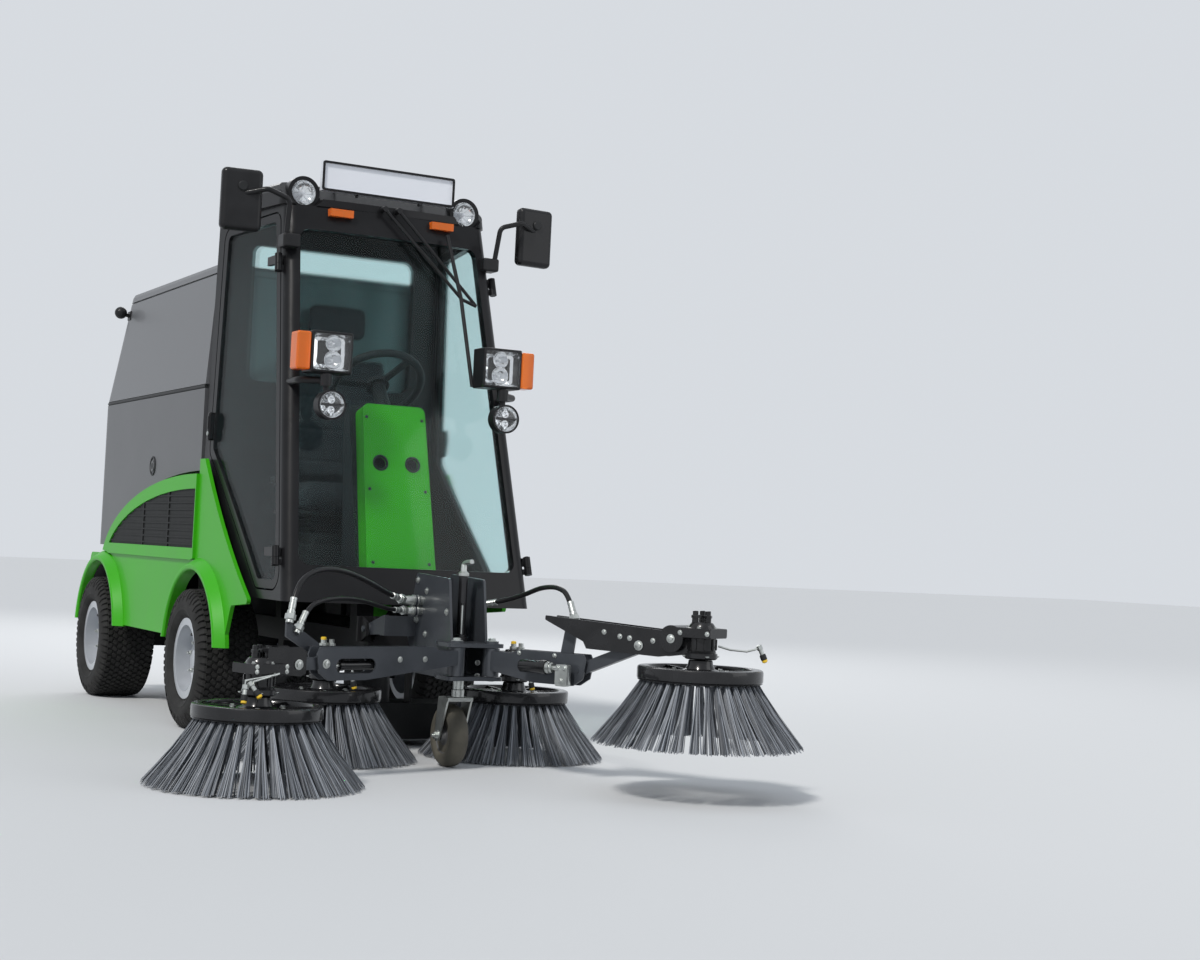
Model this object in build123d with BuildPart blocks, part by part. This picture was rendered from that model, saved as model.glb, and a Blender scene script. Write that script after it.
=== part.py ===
from build123d import *
import os
from math import cos, pi, radians, sin, sqrt, tan

# Compact road sweeper: glazed cab over the front axle, tipping hopper behind it,
# two brushes at the suction mouth and two on swinging arms of a lifting front frame.
# Millimetres. Forward is -Y, the vehicle's right side is -X, the ground is Z = 0.
# The model is drawn about the front axle and moved to its origin as it is written.

# Running gear
WHEELBASE = 1400.0
TYRE_R = 254.0
TYRE_WIDTH = 228.0
SHOULDER_IN = 20.0
OVERALL_WIDTH = 1080.0
BEAD_R = 127.0
FLANGE_R = 147.0
FLANGE_THICK = 8.0
RIM_WIDTH = 192.0
RIM_WALL = 6.0
HUB_R = 42.0
STUB_R = 15.0
KINGPIN_X = 278.0
KINGPIN_R = 11.0
PIN_CLEAR = 0.05
ARCH_R = 322.0

# Frame
RAIL_X = 130.0
RAIL_WIDTH = 60.0
RAIL_LOW_Z = 330.0
RAIL_HEIGHT = 80.0
FRAME_FRONT_Y = -880.0
FRAME_OVERHANG = 260.0

# Cab
CAB_LOW_Z = 500.0
CAB_TOP_Z = 1880.0
CAB_FRONT_LOW_Y = -848.0
CAB_FRONT_TOP_Y = -448.0
CAB_FRONT_LOW_X = 450.0
CAB_FRONT_TOP_X = 376.0
CAB_REAR_LOW_X = 470.0
CAB_REAR_TOP_X = 452.0
CAB_REAR_Y = 88.0
CAB_BOW = 34.0
CAB_CORNER = 42.0
CAB_WALL = 32.0
GLASS = 6.0
GLASS_INSET = 8.0
DOOR_GAP = 6.0
ROOF_THICK = 92.0
PRESSING = 6.0

# Hopper
HOPPER_X = 470.0
HOPPER_FRONT_Y = 108.0
HOPPER_OVERHANG = 300.0
HOPPER_SEAM_Z = 1252.0
HOPPER_TOP_Z = 1728.0
HOPPER_WALL = 14.0
HOPPER_CORNER = 150.0
TIP_BACK = 24.0
TIP_Z = 620.0

# Side panels
PANEL_X = 487.0
PANEL_THICK = 14.0
COVER_X = 498.0
FENDER_X = 524.0
FENDER_LIP = 44.0
SEAM_Z = 610.0
EAR_REAR_Y = 60.0
COVER_RISE = 378.0
COVER_REACH = 1340.0
COVER_BASE_Z = 552.0
COVER_BASE_Y = 90.0
HOPPER_GAP = 14.0

# Front frame and brushes
LIFT_Y = -905.0
LIFT_Z = 420.0
CHEEK_X = 60.0
CHEEK_THICK = 8.0
POST_Y = -1266.0
POST_R = 14.0
STEM_R = 12.0
SWING_X = 60.0
SWING_Y = -1375.0
ARM_Z = 345.0
ARM_TOP_Z = 394.0
ARM_PLATE_Y = 18.0
ARM_PLATE = 6.0
BEAM_PLATE_Y = 30.0
BEAM_PLATE = 6.0
BRUSH_TIP_R = 315.0
BRUSH_DISC_R = 187.0
DISC_TOP_Z = 232.0
DISC_THICK = 45.0
TIP_Z_LOW = 3.0
TUFTS = 30
TUFT_WIDTH = 26.0
TUFT_IN_R = 130.0
TUFT_OUT_R = 172.0
BRUSH_HUB = 22.0
MOUTH_BRUSH_X = 341.0
MOUTH_BRUSH_Y = -968.0
MOTOR_R = 38.0
SHAFT_R = 12.0
CASTOR_R = 100.0
CASTOR_TRAIL = 50.0

# Brush arms: swing from straight ahead, reach of the swing arm, of the lift arm and of the yoke,
# rise of the lift arm as it stands and rise when its brush is on the ground, in mm and degrees
ARMS = {
    "right": {"side": -1, "swing": 72.0, "inner": 530.0, "link": 110.0, "yoke": 109.0, "rise": 0.0,
              "low": 0.0},
    "left": {"side": 1, "swing": 31.0, "inner": 330.0, "link": 240.0, "yoke": 191.5, "rise": 22.0,
             "low": -14.5},
}

# Hoses from the couplings on the tower to the brackets on the swing arms: side, radius, route
HOSES = {
    "hose_upper_right": (-1, 8.0, [(-150, -1105, 530), (-210, -1150, 545), (-300, -1225, 580),
                                   (-410, -1310, 612),
                                   (-510, -1388, 622), (-592, -1452, 602), (-638, -1492, 556),
                                   (-653, -1507, 490)]),
    "hose_lower_right": (-1, 7.0, [(-140, -1105, 492), (-195, -1146, 494), (-262, -1195, 508),
                                   (-350, -1268, 526),
                                   (-440, -1345, 532), (-530, -1425, 526), (-590, -1475, 506),
                                   (-619.5, -1496, 455)]),
    "hose_left": (1, 8.0, [(150, -1105, 520), (210, -1148, 535), (236, -1240, 560), (228, -1350, 583),
                           (216, -1450, 592), (212, -1520, 592), (213, -1588, 574), (213, -1630, 512)]),
}

WHEEL_X = OVERALL_WIDTH / 2 - TYRE_WIDTH / 2
FRAME_REAR_Y = WHEELBASE + FRAME_OVERHANG
HOPPER_REAR_Y = WHEELBASE + HOPPER_OVERHANG
TIP_Y = HOPPER_REAR_Y + TIP_BACK
COLUMN_TOP = (0, -432, 1271)
COLUMN_DIR = (0, 100, 112)
DOOR_HINGE_Y = HOPPER_REAR_Y + 14
DOOR_HINGE_Z = 1200.0

SIDES = (("right", -1), ("left", 1))
AXLES = (("front", 0.0), ("rear", WHEELBASE))


def cab_line(z, inset):
    """Front corner and rear corner (x, y) of the cab's plan at height z."""
    share = (z - CAB_LOW_Z) / (CAB_TOP_Z - CAB_LOW_Z)
    front_x = CAB_FRONT_LOW_X + share * (CAB_FRONT_TOP_X - CAB_FRONT_LOW_X) - inset
    front_y = CAB_FRONT_LOW_Y + share * (CAB_FRONT_TOP_Y - CAB_FRONT_LOW_Y) + inset
    rear_x = CAB_REAR_LOW_X + share * (CAB_REAR_TOP_X - CAB_REAR_LOW_X) - inset
    return front_x, front_y, rear_x, CAB_REAR_Y - inset


# Door hinge line: a little outside the cab's raked front corner (right side mirrored)
HINGE_OUT = 22.0
HINGE_BACK = 26.0
HINGE_LOW_Z = CAB_LOW_Z + 160
HINGE_HIGH_Z = CAB_TOP_Z - 205
hinge_low = (cab_line(HINGE_LOW_Z, 0)[0] + HINGE_OUT, cab_line(HINGE_LOW_Z, 0)[1] + HINGE_BACK, HINGE_LOW_Z)
hinge_high = (cab_line(HINGE_HIGH_Z, 0)[0] + HINGE_OUT, cab_line(HINGE_HIGH_Z, 0)[1] + HINGE_BACK,
              HINGE_HIGH_Z)


def arm_places(arm):
    """Reach and height of an arm's lift pin and yoke pin, its brush's reach and its disc's top."""
    pin_x = arm["inner"] + arm["link"] * cos(radians(arm["rise"]))
    pin_z = ARM_Z + arm["link"] * sin(radians(arm["rise"]))
    raised = arm["link"] * (sin(radians(arm["rise"])) - sin(radians(arm["low"])))
    return pin_x, pin_z, pin_x + arm["yoke"], DISC_TOP_Z + raised


def arm_point(arm, reach, across=0.0):
    """The place (x, y) at a reach along an arm and a distance across it, from above."""
    side = arm["side"]
    turn = radians(arm["swing"])
    x = side * SWING_X + side * reach * sin(turn) + across * cos(turn)
    y = SWING_Y - reach * cos(turn) + side * across * sin(turn)
    return x, y


# Plan places of the two swinging brushes, and the middle of the whole outline
right_brush = arm_point(ARMS["right"], arm_places(ARMS["right"])[2])
left_brush = arm_point(ARMS["left"], arm_places(ARMS["left"])[2])
HITCH_END_Y = FRAME_REAR_Y + 130
HITCH_Y = HITCH_END_Y - 40
HITCH_R = 16.0
EYE_X = 320.0
EYE_Y = FRAME_REAR_Y + 104
EYE_Z = 440.0
EYE_R = 14.0
ORIGIN_X = (right_brush[0] + left_brush[0]) / 2
ORIGIN_Y = (left_brush[1] - BRUSH_TIP_R + HITCH_END_Y) / 2
SHIFT = Location((-ORIGIN_X, -ORIGIN_Y, 0))

os.makedirs("parts", exist_ok=True)


def write(piece, label):
    """Move a finished piece to the model's origin, label it and write it."""
    piece.part = piece.part.moved(SHIFT)
    piece.part.label = label
    export_step(piece.part, f"parts/{label}.step")


def block(x, y, z, mode=Mode.ADD):
    """A box between the two values of each axis."""
    with Locations(((x[0] + x[1]) / 2, (y[0] + y[1]) / 2, (z[0] + z[1]) / 2)):
        Box(abs(x[1] - x[0]), abs(y[1] - y[0]), abs(z[1] - z[0]), mode=mode)


def rod(start, end, radius, mode=Mode.ADD):
    """A round bar between two points."""
    start = Vector(*start)
    end = Vector(*end)
    with Locations(Plane(origin=start, z_dir=end - start)):
        Cylinder(radius, (end - start).length, align=(Align.CENTER, Align.CENTER, Align.MIN), mode=mode)


def plate(plane, points, thick, corner=0.0, holes=(), mode=Mode.ADD):
    """A plate of an outline on a plane, with rounded corners and holes of (x, y, radius)."""
    with BuildSketch(plane) as outline:
        with BuildLine():
            Polyline(*points, close=True)
        make_face()
        if corner:
            fillet(outline.vertices(), radius=corner)
        for x, y, radius in holes:
            with Locations((x, y)):
                Circle(radius, mode=Mode.SUBTRACT)
    extrude(outline.sketch, amount=thick, mode=mode)


def side_plate(points, x, thick, corner=0.0, holes=(), mode=Mode.ADD):
    """A plate of a (y, z) outline, from x outwards by thick along +X."""
    plate(Plane.YZ.offset(x), points, thick, corner, holes, mode)


def flat_plate(points, z, thick, corner=0.0, holes=(), mode=Mode.ADD):
    """A level plate of an (x, y) outline, from z upwards by thick."""
    plate(Plane.XY.offset(z), points, thick, corner, holes, mode)


def upright_plate(points, y, thick, corner=0.0, holes=(), mode=Mode.ADD):
    """A plate of an (x, z) outline, from y by thick along +Y."""
    plate(Plane.XZ.offset(-y - thick), points, thick, corner, holes, mode)


def tube(points, radius, bend):
    """A round tube along straight runs joined by arcs."""
    with BuildLine() as route:
        FilletPolyline(*points, radius=bend)
    start = Vector(*points[0])
    with BuildSketch(Plane(origin=start, z_dir=Vector(*points[1]) - start)) as ring:
        Circle(radius)
    sweep(ring.sketch, path=route.wires()[0])


def soft_box(x, y, z, rounding, mode=Mode.ADD):
    """A box between the two values of each axis, with all its edges rounded."""
    size = (abs(x[1] - x[0]), abs(y[1] - y[0]), abs(z[1] - z[0]))
    with BuildPart(mode=Mode.PRIVATE) as form:
        Box(*size)
        fillet(form.edges(), radius=rounding)
    with Locations(((x[0] + x[1]) / 2, (y[0] + y[1]) / 2, (z[0] + z[1]) / 2)):
        add(form.part, mode=mode)


def fitting(end, before, radius):
    """A hose fitting in line with a hose's last run, seated just off the hose's end."""
    end = Vector(*end)
    along = (end - Vector(*before)).normalized()
    rod(end + along * SEAT_GAP, end + along * 30, radius + 3)
    rod(end + along * 7, end + along * 20, radius + 6)


def motor(x, y, low_z):
    """A gear motor over a brush: flange, body, ribbed cap and port block, from low_z up."""
    rod((x, y, low_z), (x, y, low_z + 14), MOTOR_R + 10)
    rod((x, y, low_z + 14), (x, y, low_z + 72), MOTOR_R)
    rod((x, y, low_z + 72), (x, y, low_z + 86), MOTOR_R + 5)
    rod((x, y, low_z + 86), (x, y, low_z + 104), MOTOR_R - 8)
    rod((x, y, low_z - 58), (x, y, low_z), SHAFT_R)


def cab_plan(z, inset):
    """The cab's plan at height z, with a bowed front and round corners."""
    front_x, front_y, rear_x, rear_y = cab_line(z, inset)
    with BuildSketch(Plane.XY.offset(z)) as plan:
        with BuildLine():
            ThreePointArc((-front_x, front_y), (0, front_y - CAB_BOW), (front_x, front_y))
            Polyline((front_x, front_y), (rear_x, rear_y), (-rear_x, rear_y), (-front_x, front_y))
        make_face()
        fillet(plan.vertices().sort_by(Axis.Y)[0:2], radius=CAB_CORNER - inset)
    return plan.sketch


def cab_body(low, high, inset):
    """The cab's solid between two heights, drawn in by inset."""
    with BuildPart() as body:
        loft([cab_plan(low, inset), cab_plan(high, inset)], ruled=True)
    return body.part


def cab_skin(low, high, outer, inner):
    """The cab's wall between two insets."""
    with BuildPart() as skin:
        add(cab_body(low, high, outer))
        add(cab_body(low - 1, high + 1, inner), mode=Mode.SUBTRACT)
    return skin.part


def front_edge(z):
    """The y of the cab's front corner at height z."""
    return cab_line(z, 0)[1]


# Openings of the cab
DOOR_LOW_Z = CAB_LOW_Z + 36
DOOR_TOP_Z = CAB_TOP_Z - 28
DOOR_PILLAR = 52.0
DOOR_REAR_Y = CAB_REAR_Y - 54
DOOR_KNEE_Z = 1010.0
DOOR_FOOT_Y = -560.0
DOOR_CORNER = 50.0
DOOR_RAIL = 30.0
SCREEN_LOW_Z = CAB_LOW_Z + 122
SCREEN_TOP_Z = CAB_TOP_Z - 88
SCREEN_PILLAR = 46.0
SCREEN_CORNER = 36.0
REAR_WINDOW_X = 320.0
REAR_WINDOW_TOP_Z = CAB_TOP_Z - 80
door_outline = [(front_edge(DOOR_LOW_Z) + DOOR_PILLAR, DOOR_LOW_Z),
                (DOOR_FOOT_Y, DOOR_LOW_Z),
                (DOOR_REAR_Y, DOOR_KNEE_Z),
                (DOOR_REAR_Y, DOOR_TOP_Z - 14),
                (front_edge(DOOR_TOP_Z) + DOOR_PILLAR, DOOR_TOP_Z)]
screen_low_x = cab_line(SCREEN_LOW_Z, 0)[0] - SCREEN_PILLAR
screen_top_x = cab_line(SCREEN_TOP_Z, 0)[0] - SCREEN_PILLAR
screen_outline = [(-screen_low_x, SCREEN_LOW_Z), (screen_low_x, SCREEN_LOW_Z),
                  (screen_top_x, SCREEN_TOP_Z), (-screen_top_x, SCREEN_TOP_Z)]
rear_window_outline = [(-REAR_WINDOW_X, HOPPER_SEAM_Z + 38), (REAR_WINDOW_X, HOPPER_SEAM_Z + 38),
                       (REAR_WINDOW_X, REAR_WINDOW_TOP_Z), (-REAR_WINDOW_X, REAR_WINDOW_TOP_Z)]


def prism(points, plane, amount, grow=0.0, corner=0.0):
    """A prism of an outline that is grown by an amount and rounded, from a plane."""
    with BuildPart() as solid:
        with BuildSketch(plane) as outline:
            with BuildLine():
                Polyline(*points, close=True)
            make_face()
            if grow:
                offset(amount=grow, kind=Kind.INTERSECTION, mode=Mode.REPLACE)
            if corner:
                fillet(outline.vertices(), radius=corner)
        extrude(amount=amount)
    return solid.part


def hinge_plane(side, high):
    """The upper or lower door hinge: its middle, with Z along the hinge line."""
    low_point = Vector(side * hinge_low[0], *hinge_low[1:])
    high_point = Vector(side * hinge_high[0], *hinge_high[1:])
    return Plane(origin=high_point if high else low_point, z_dir=high_point - low_point)


HINGE_R = 13.0
HINGE_PIN_R = 7.0
HINGE_HALF = 20.0
WHEEL_BOX = 6.0
hinge_spots = [(side, high) for side in (-1, 1) for high in (False, True)]
screen_cut = prism(screen_outline, Plane.XZ.offset(300), 700, 0.0, SCREEN_CORNER)
rear_window_cut = prism(rear_window_outline, Plane.XZ.offset(-200), 180, 0.0, SCREEN_CORNER)

# Cab frame: pillars, sills, roof rails and rear wall
with BuildPart() as cab_frame:
    add(cab_skin(CAB_LOW_Z, CAB_TOP_Z, 0, CAB_WALL))
    add(screen_cut, mode=Mode.SUBTRACT)
    add(rear_window_cut, mode=Mode.SUBTRACT)
    for side in (-1, 1):
        with Locations(Location((side * 250 if side > 0 else -650, 0, 0))):
            add(prism(door_outline, Plane.YZ, 400, DOOR_GAP, DOOR_CORNER + DOOR_GAP), mode=Mode.SUBTRACT)
        with Locations(Location((side * 380, 0, TYRE_R), (0, 90, 0))):
            Cylinder(ARCH_R, 250, mode=Mode.SUBTRACT)

    for side, high in hinge_spots:
        middle = hinge_plane(side, high).origin
        with Locations(hinge_plane(side, high)):
            with Locations((0, 0, -HINGE_HALF - 13)):
                Cylinder(HINGE_R, 25)
            Cylinder(HINGE_PIN_R, HINGE_HALF * 2 + 4)
        with Locations((middle.X - side * 17, middle.Y, middle.Z - HINGE_HALF - 13)):
            Box(34, 18, 20)

# Cab floor with wheel boxes
with BuildPart() as cab_floor:
    add(cab_body(CAB_LOW_Z, CAB_LOW_Z + 30, CAB_WALL))
    for side in (-1, 1):
        with Locations(Location((side * 380, 0, TYRE_R), (0, 90, 0))):
            Cylinder(ARCH_R, 250, mode=Mode.SUBTRACT)
    for side in (-1, 1):
        with BuildPart(mode=Mode.PRIVATE) as box:
            with Locations(Location((side * 330, 0, TYRE_R), (0, 90, 0))):
                Cylinder(ARCH_R, 168)
                Cylinder(ARCH_R - WHEEL_BOX, 168, mode=Mode.SUBTRACT)
            with Locations(Location((side * 249, 0, TYRE_R), (0, 90, 0))):
                Cylinder(ARCH_R, WHEEL_BOX)
            block((-600, 600), (-500, CAB_REAR_Y - CAB_WALL), (CAB_LOW_Z, 700), mode=Mode.INTERSECT)
        add(box.part)
    add(cab_body(CAB_LOW_Z - 1, 800, CAB_WALL), mode=Mode.INTERSECT)

# Glass that stays put
with BuildPart() as fixed_glass:
    add(cab_skin(CAB_LOW_Z, CAB_TOP_Z, GLASS_INSET, GLASS_INSET + GLASS))
    add(screen_cut + rear_window_cut, mode=Mode.INTERSECT)

# Roof with its lamp pods
ROOF_FRONT_Y = CAB_FRONT_TOP_Y - 10
ROOF_FRONT_X = CAB_FRONT_TOP_X + 10
ROOF_REAR_X = CAB_REAR_TOP_X + 16
ROOF_REAR_Y = CAB_REAR_Y + 12
ROOF_BOW = 24.0
ROOF_LIP = 26.0
ROOF_SLOPE_Y = -345.0
POD_X = 310.0
POD_Z = CAB_TOP_Z + 49
POD_R = 58.0
POD_FRONT_Y = -425.0
POD_BORE = 26.0
POD_RING = 14.0
SEAT_GAP = 0.3
PRESSING_X = 225.0
SIGN_Y = -440.0
SIGN_X = 254.0
SIGN_HEIGHT = 106.0
SIGN_THICK = 22.0
SIGN_LOW_Z = CAB_TOP_Z + 62
SIGN_BORDER = 9.0
ROOF_TOP_Z = CAB_TOP_Z + ROOF_THICK


def roof_plan(rise, inset):
    """The roof's plan at a height above the cab's top, drawn in by inset."""
    front_x = ROOF_FRONT_X - inset
    front_y = ROOF_FRONT_Y + inset
    with BuildSketch(Plane.XY.offset(CAB_TOP_Z + rise)) as plan:
        with BuildLine():
            ThreePointArc((-front_x, front_y), (0, front_y - ROOF_BOW), (front_x, front_y))
            Polyline((front_x, front_y), (ROOF_REAR_X - inset, ROOF_REAR_Y - inset),
                     (-ROOF_REAR_X + inset, ROOF_REAR_Y - inset), (-front_x, front_y))
        make_face()
        fillet(plan.vertices(), radius=72 - inset)
    return plan.sketch


# Rise above the cab's top and inset of the roof's sections
ROOF_SECTIONS = ((0.0, 0.0), (54.0, 6.0), (76.0, 15.0), (88.0, 30.0), (ROOF_THICK, 48.0))
with BuildPart() as cab_roof:
    for lower, upper in zip(ROOF_SECTIONS, ROOF_SECTIONS[1:]):
        loft([roof_plan(*lower), roof_plan(*upper)], ruled=True)
    # the front falls to a thin lip
    side_plate([(-600, CAB_TOP_Z + ROOF_LIP), (ROOF_FRONT_Y + 18, CAB_TOP_Z + ROOF_LIP),
                (ROOF_SLOPE_Y, ROOF_TOP_Z), (ROOF_SLOPE_Y, ROOF_TOP_Z + 9), (-600, ROOF_TOP_Z + 9)],
               -500, 1000, mode=Mode.SUBTRACT)
    for side in (-1, 1):
        rod((side * POD_X, POD_FRONT_Y - 160, POD_Z), (side * POD_X, POD_FRONT_Y, POD_Z), POD_R + 3,
            mode=Mode.SUBTRACT)
        rod((side * POD_X, POD_FRONT_Y, POD_Z), (side * POD_X, POD_FRONT_Y + 52, POD_Z), POD_R)
        with Locations(Plane(origin=(side * POD_X, POD_FRONT_Y + 52, POD_Z), z_dir=(0, 1, 0))):
            Cone(POD_R, POD_R / 2, 80, align=(Align.CENTER, Align.CENTER, Align.MIN))
        rod((side * POD_X, POD_FRONT_Y - 1, POD_Z), (side * POD_X, POD_FRONT_Y + POD_BORE, POD_Z),
            POD_R - POD_RING, mode=Mode.SUBTRACT)
    block((-500, 500), (-500, 200), (CAB_TOP_Z - 100, CAB_TOP_Z), mode=Mode.SUBTRACT)
    # raised pressing that a beacon or roof load rests on
    block((-PRESSING_X, PRESSING_X), (-270, 20), (ROOF_TOP_Z - 1, ROOF_TOP_Z + PRESSING))

# Roof sign: a bare board on two brackets
with BuildPart() as roof_sign:
    block((-SIGN_X, SIGN_X), (SIGN_Y - SIGN_THICK / 2, SIGN_Y + SIGN_THICK / 2),
          (SIGN_LOW_Z, SIGN_LOW_Z + SIGN_HEIGHT))
    block((-SIGN_X + SIGN_BORDER, SIGN_X - SIGN_BORDER), (SIGN_Y - SIGN_THICK, SIGN_Y - SIGN_THICK / 2 + 3),
          (SIGN_LOW_Z + SIGN_BORDER, SIGN_LOW_Z + SIGN_HEIGHT - SIGN_BORDER), mode=Mode.SUBTRACT)
    for x in (-170, 170):
        side_plate([(SIGN_Y + SIGN_THICK / 2, ROOF_TOP_Z + 14), (SIGN_Y + SIGN_THICK / 2, ROOF_TOP_Z + 40),
                    (ROOF_SLOPE_Y, ROOF_TOP_Z + 24), (ROOF_SLOPE_Y + 50, ROOF_TOP_Z),
                    (ROOF_SLOPE_Y, ROOF_TOP_Z)], x - 4, 8)

# Doors
HANDLE_Z = 1105.0
door_frames = {}
door_panes = {}
for name, side in SIDES:
    shift = 250 if side > 0 else -650
    outline = Location((shift, 0, 0)) * prism(door_outline, Plane.YZ, 400, 0.0, DOOR_CORNER)
    opening = Location((shift, 0, 0)) * prism(door_outline, Plane.YZ, 400, -DOOR_RAIL,
                                              DOOR_CORNER - DOOR_RAIL + 6)
    with BuildPart() as frame:
        add(cab_skin(CAB_LOW_Z, CAB_TOP_Z, 0, CAB_WALL - 4))
        add(outline, mode=Mode.INTERSECT)
        add(opening, mode=Mode.SUBTRACT)
        for high in (False, True):
            middle = hinge_plane(side, high).origin
            with BuildPart(mode=Mode.PRIVATE) as strap:
                with Locations((middle.X - side * 6, middle.Y + 50, middle.Z)):
                    Box(24, 100, 30)
                add(cab_body(CAB_LOW_Z, CAB_TOP_Z, -2), mode=Mode.SUBTRACT)
                with Locations((middle.X - side * 20, middle.Y + 80, middle.Z)):
                    Box(36, 40, 30)
                add(cab_body(CAB_LOW_Z, CAB_TOP_Z, 0), mode=Mode.SUBTRACT)
                with Locations(hinge_plane(side, high)):
                    Cylinder(HINGE_R, HINGE_HALF * 2 - 1)
                    Cylinder(HINGE_PIN_R + PIN_CLEAR, HINGE_HALF * 2 + 4, mode=Mode.SUBTRACT)
            add(strap.part)
        # handle on the rear rail
        with BuildPart(mode=Mode.PRIVATE) as handle:
            soft_box((side * 430, side * (cab_line(HANDLE_Z, 0)[2] + 16)),
                     (DOOR_REAR_Y - 26, DOOR_REAR_Y - 3),
                     (HANDLE_Z - 52, HANDLE_Z + 52), 7)
            add(cab_body(CAB_LOW_Z, CAB_TOP_Z, 0), mode=Mode.SUBTRACT)
        add(handle.part)
    with BuildPart() as pane:
        add(cab_skin(CAB_LOW_Z, CAB_TOP_Z, GLASS_INSET, GLASS_INSET + GLASS))
        add(opening, mode=Mode.INTERSECT)
    door_frames[name] = frame
    door_panes[name] = pane

# Seat: pedestal, cushion, backrest and headrest
SEAT_X = 235.0
SEAT_FRONT_Y = -330.0
SEAT_REAR_Y = 24.0
SEAT_Z = 800.0
CUSHION = 105.0
BACK_LEAN = 4.0
with BuildPart() as seat:
    block((-SEAT_X + 45, SEAT_X - 45), (SEAT_FRONT_Y + 30, SEAT_REAR_Y - 14), (CAB_LOW_Z + 30, SEAT_Z + 2))
    soft_box((-SEAT_X, SEAT_X), (SEAT_FRONT_Y, SEAT_REAR_Y - 4), (SEAT_Z, SEAT_Z + CUSHION), 34)
    with BuildPart(mode=Mode.PRIVATE) as back:
        soft_box((-SEAT_X + 20, SEAT_X - 20), (-42, 42), (0, 560), 30)
        for x in (-60, 60):
            rod((x, 4, 540), (x, 4, 620), 7)
        soft_box((-120, 120), (-34, 40), (605, 745), 26)
    with Locations(Location((0, -34, SEAT_Z + CUSHION - 44), (-BACK_LEAN, 0, 0))):
        add(back.part)

# Console: green open-backed pan, and the dark column behind it
COLUMN_AXIS = Vector(*COLUMN_DIR).normalized()
WHEEL_HUB = 18.0
PAN_FOOT = (-752.0, 600.0)
PAN_TOP = (-600.0, 1190.0)
PAN_LOW_X = 128.0
PAN_TOP_X = 116.0
PAN_DEPTH = 70.0
PAN_WALL = 8.0
PAN_HOLE_R = 21.0
PAN_HOLE_X = 60.0
PAN_HOLE_Z = 984.0
pan_length = sqrt((PAN_TOP[0] - PAN_FOOT[0]) ** 2 + (PAN_TOP[1] - PAN_FOOT[1]) ** 2)
pan_along = ((PAN_TOP[0] - PAN_FOOT[0]) / pan_length, (PAN_TOP[1] - PAN_FOOT[1]) / pan_length)
pan_face = Plane(origin=(0, *PAN_FOOT), x_dir=(1, 0, 0), z_dir=(0, -pan_along[1], pan_along[0]))
pan_hole_along = (PAN_HOLE_Z - PAN_FOOT[1]) / pan_along[1]
with BuildPart() as console:
    plate(pan_face, [(-PAN_LOW_X, 0), (PAN_LOW_X, 0), (PAN_TOP_X, pan_length), (-PAN_TOP_X, pan_length)],
          -PAN_DEPTH, 24)
    plate(pan_face.offset(-PAN_WALL), [(-PAN_LOW_X + PAN_WALL, PAN_WALL), (PAN_LOW_X - PAN_WALL, PAN_WALL),
                                       (PAN_TOP_X - PAN_WALL, pan_length - PAN_WALL),
                                       (-PAN_TOP_X + PAN_WALL, pan_length - PAN_WALL)],
          -PAN_DEPTH, 16, mode=Mode.SUBTRACT)
    for side in (-1, 1):
        with Locations(pan_face):
            with Locations((side * PAN_HOLE_X, pan_hole_along)):
                Cylinder(PAN_HOLE_R, 40, mode=Mode.SUBTRACT)
column_back = (PAN_DEPTH + SEAT_GAP) / pan_along[1]
column_low_y = PAN_FOOT[0] + column_back + (CAB_LOW_Z + 30 - PAN_FOOT[1]) * pan_along[0] / pan_along[1]
with BuildPart() as console_column:
    side_plate([(column_low_y, CAB_LOW_Z + 30), (PAN_TOP[0] + column_back - 1, PAN_TOP[1] - 5),
                (PAN_TOP[0] + column_back + 50, PAN_TOP[1] - 5), (column_low_y + 150, CAB_LOW_Z + 30)], -140,
                280)
    rod(Vector(*COLUMN_TOP) - COLUMN_AXIS * 125, Vector(*COLUMN_TOP) - COLUMN_AXIS * (WHEEL_HUB / 2 + SEAT_GAP), 26)

# Steering wheel
with BuildPart() as steering_wheel:
    with Locations(Plane(origin=COLUMN_TOP, z_dir=COLUMN_AXIS)):
        Torus(160, 14)
        Cylinder(42, WHEEL_HUB)
        with PolarLocations(0, 3, start_angle=90):
            with Locations((90, 0, 0)):
                Box(140, 24, 10)

# Mirrors on tube arms from sockets on the front pillars
MIRROR_X = 560.0
MIRROR_Y = -500.0
MIRROR_Z = CAB_TOP_Z - 20
MIRROR_TOE = 6.0
SOCKET_Z = CAB_TOP_Z - 140
with BuildPart() as mirrors:
    socket_x, socket_y = cab_line(SOCKET_Z, 0)[0:2]
    for side in (-1, 1):
        with BuildPart(mode=Mode.PRIVATE) as head:
            soft_box((-71, 71), (-23, 23), (-107, 107), 18)
            block((-60, 60), (20, 24), (-96, 96), mode=Mode.SUBTRACT)
        with Locations(Location((side * MIRROR_X, MIRROR_Y, MIRROR_Z), (0, 0, side * MIRROR_TOE))):
            add(head.part)
        tube([(side * (socket_x + 14), socket_y - 26, SOCKET_Z),
              (side * (socket_x + 18), socket_y - 62, MIRROR_Z + 14),
              (side * 484, MIRROR_Y - 58, MIRROR_Z + 40), (side * MIRROR_X, MIRROR_Y - 12, MIRROR_Z + 20)],
              9, 26)
        soft_box((side * (socket_x - 34), side * (socket_x + 28)), (socket_y - 46, socket_y + 20),
                 (SOCKET_Z - 26, SOCKET_Z + 22), 8)
    add(cab_body(CAB_LOW_Z, CAB_TOP_Z, 0), mode=Mode.SUBTRACT)

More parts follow.
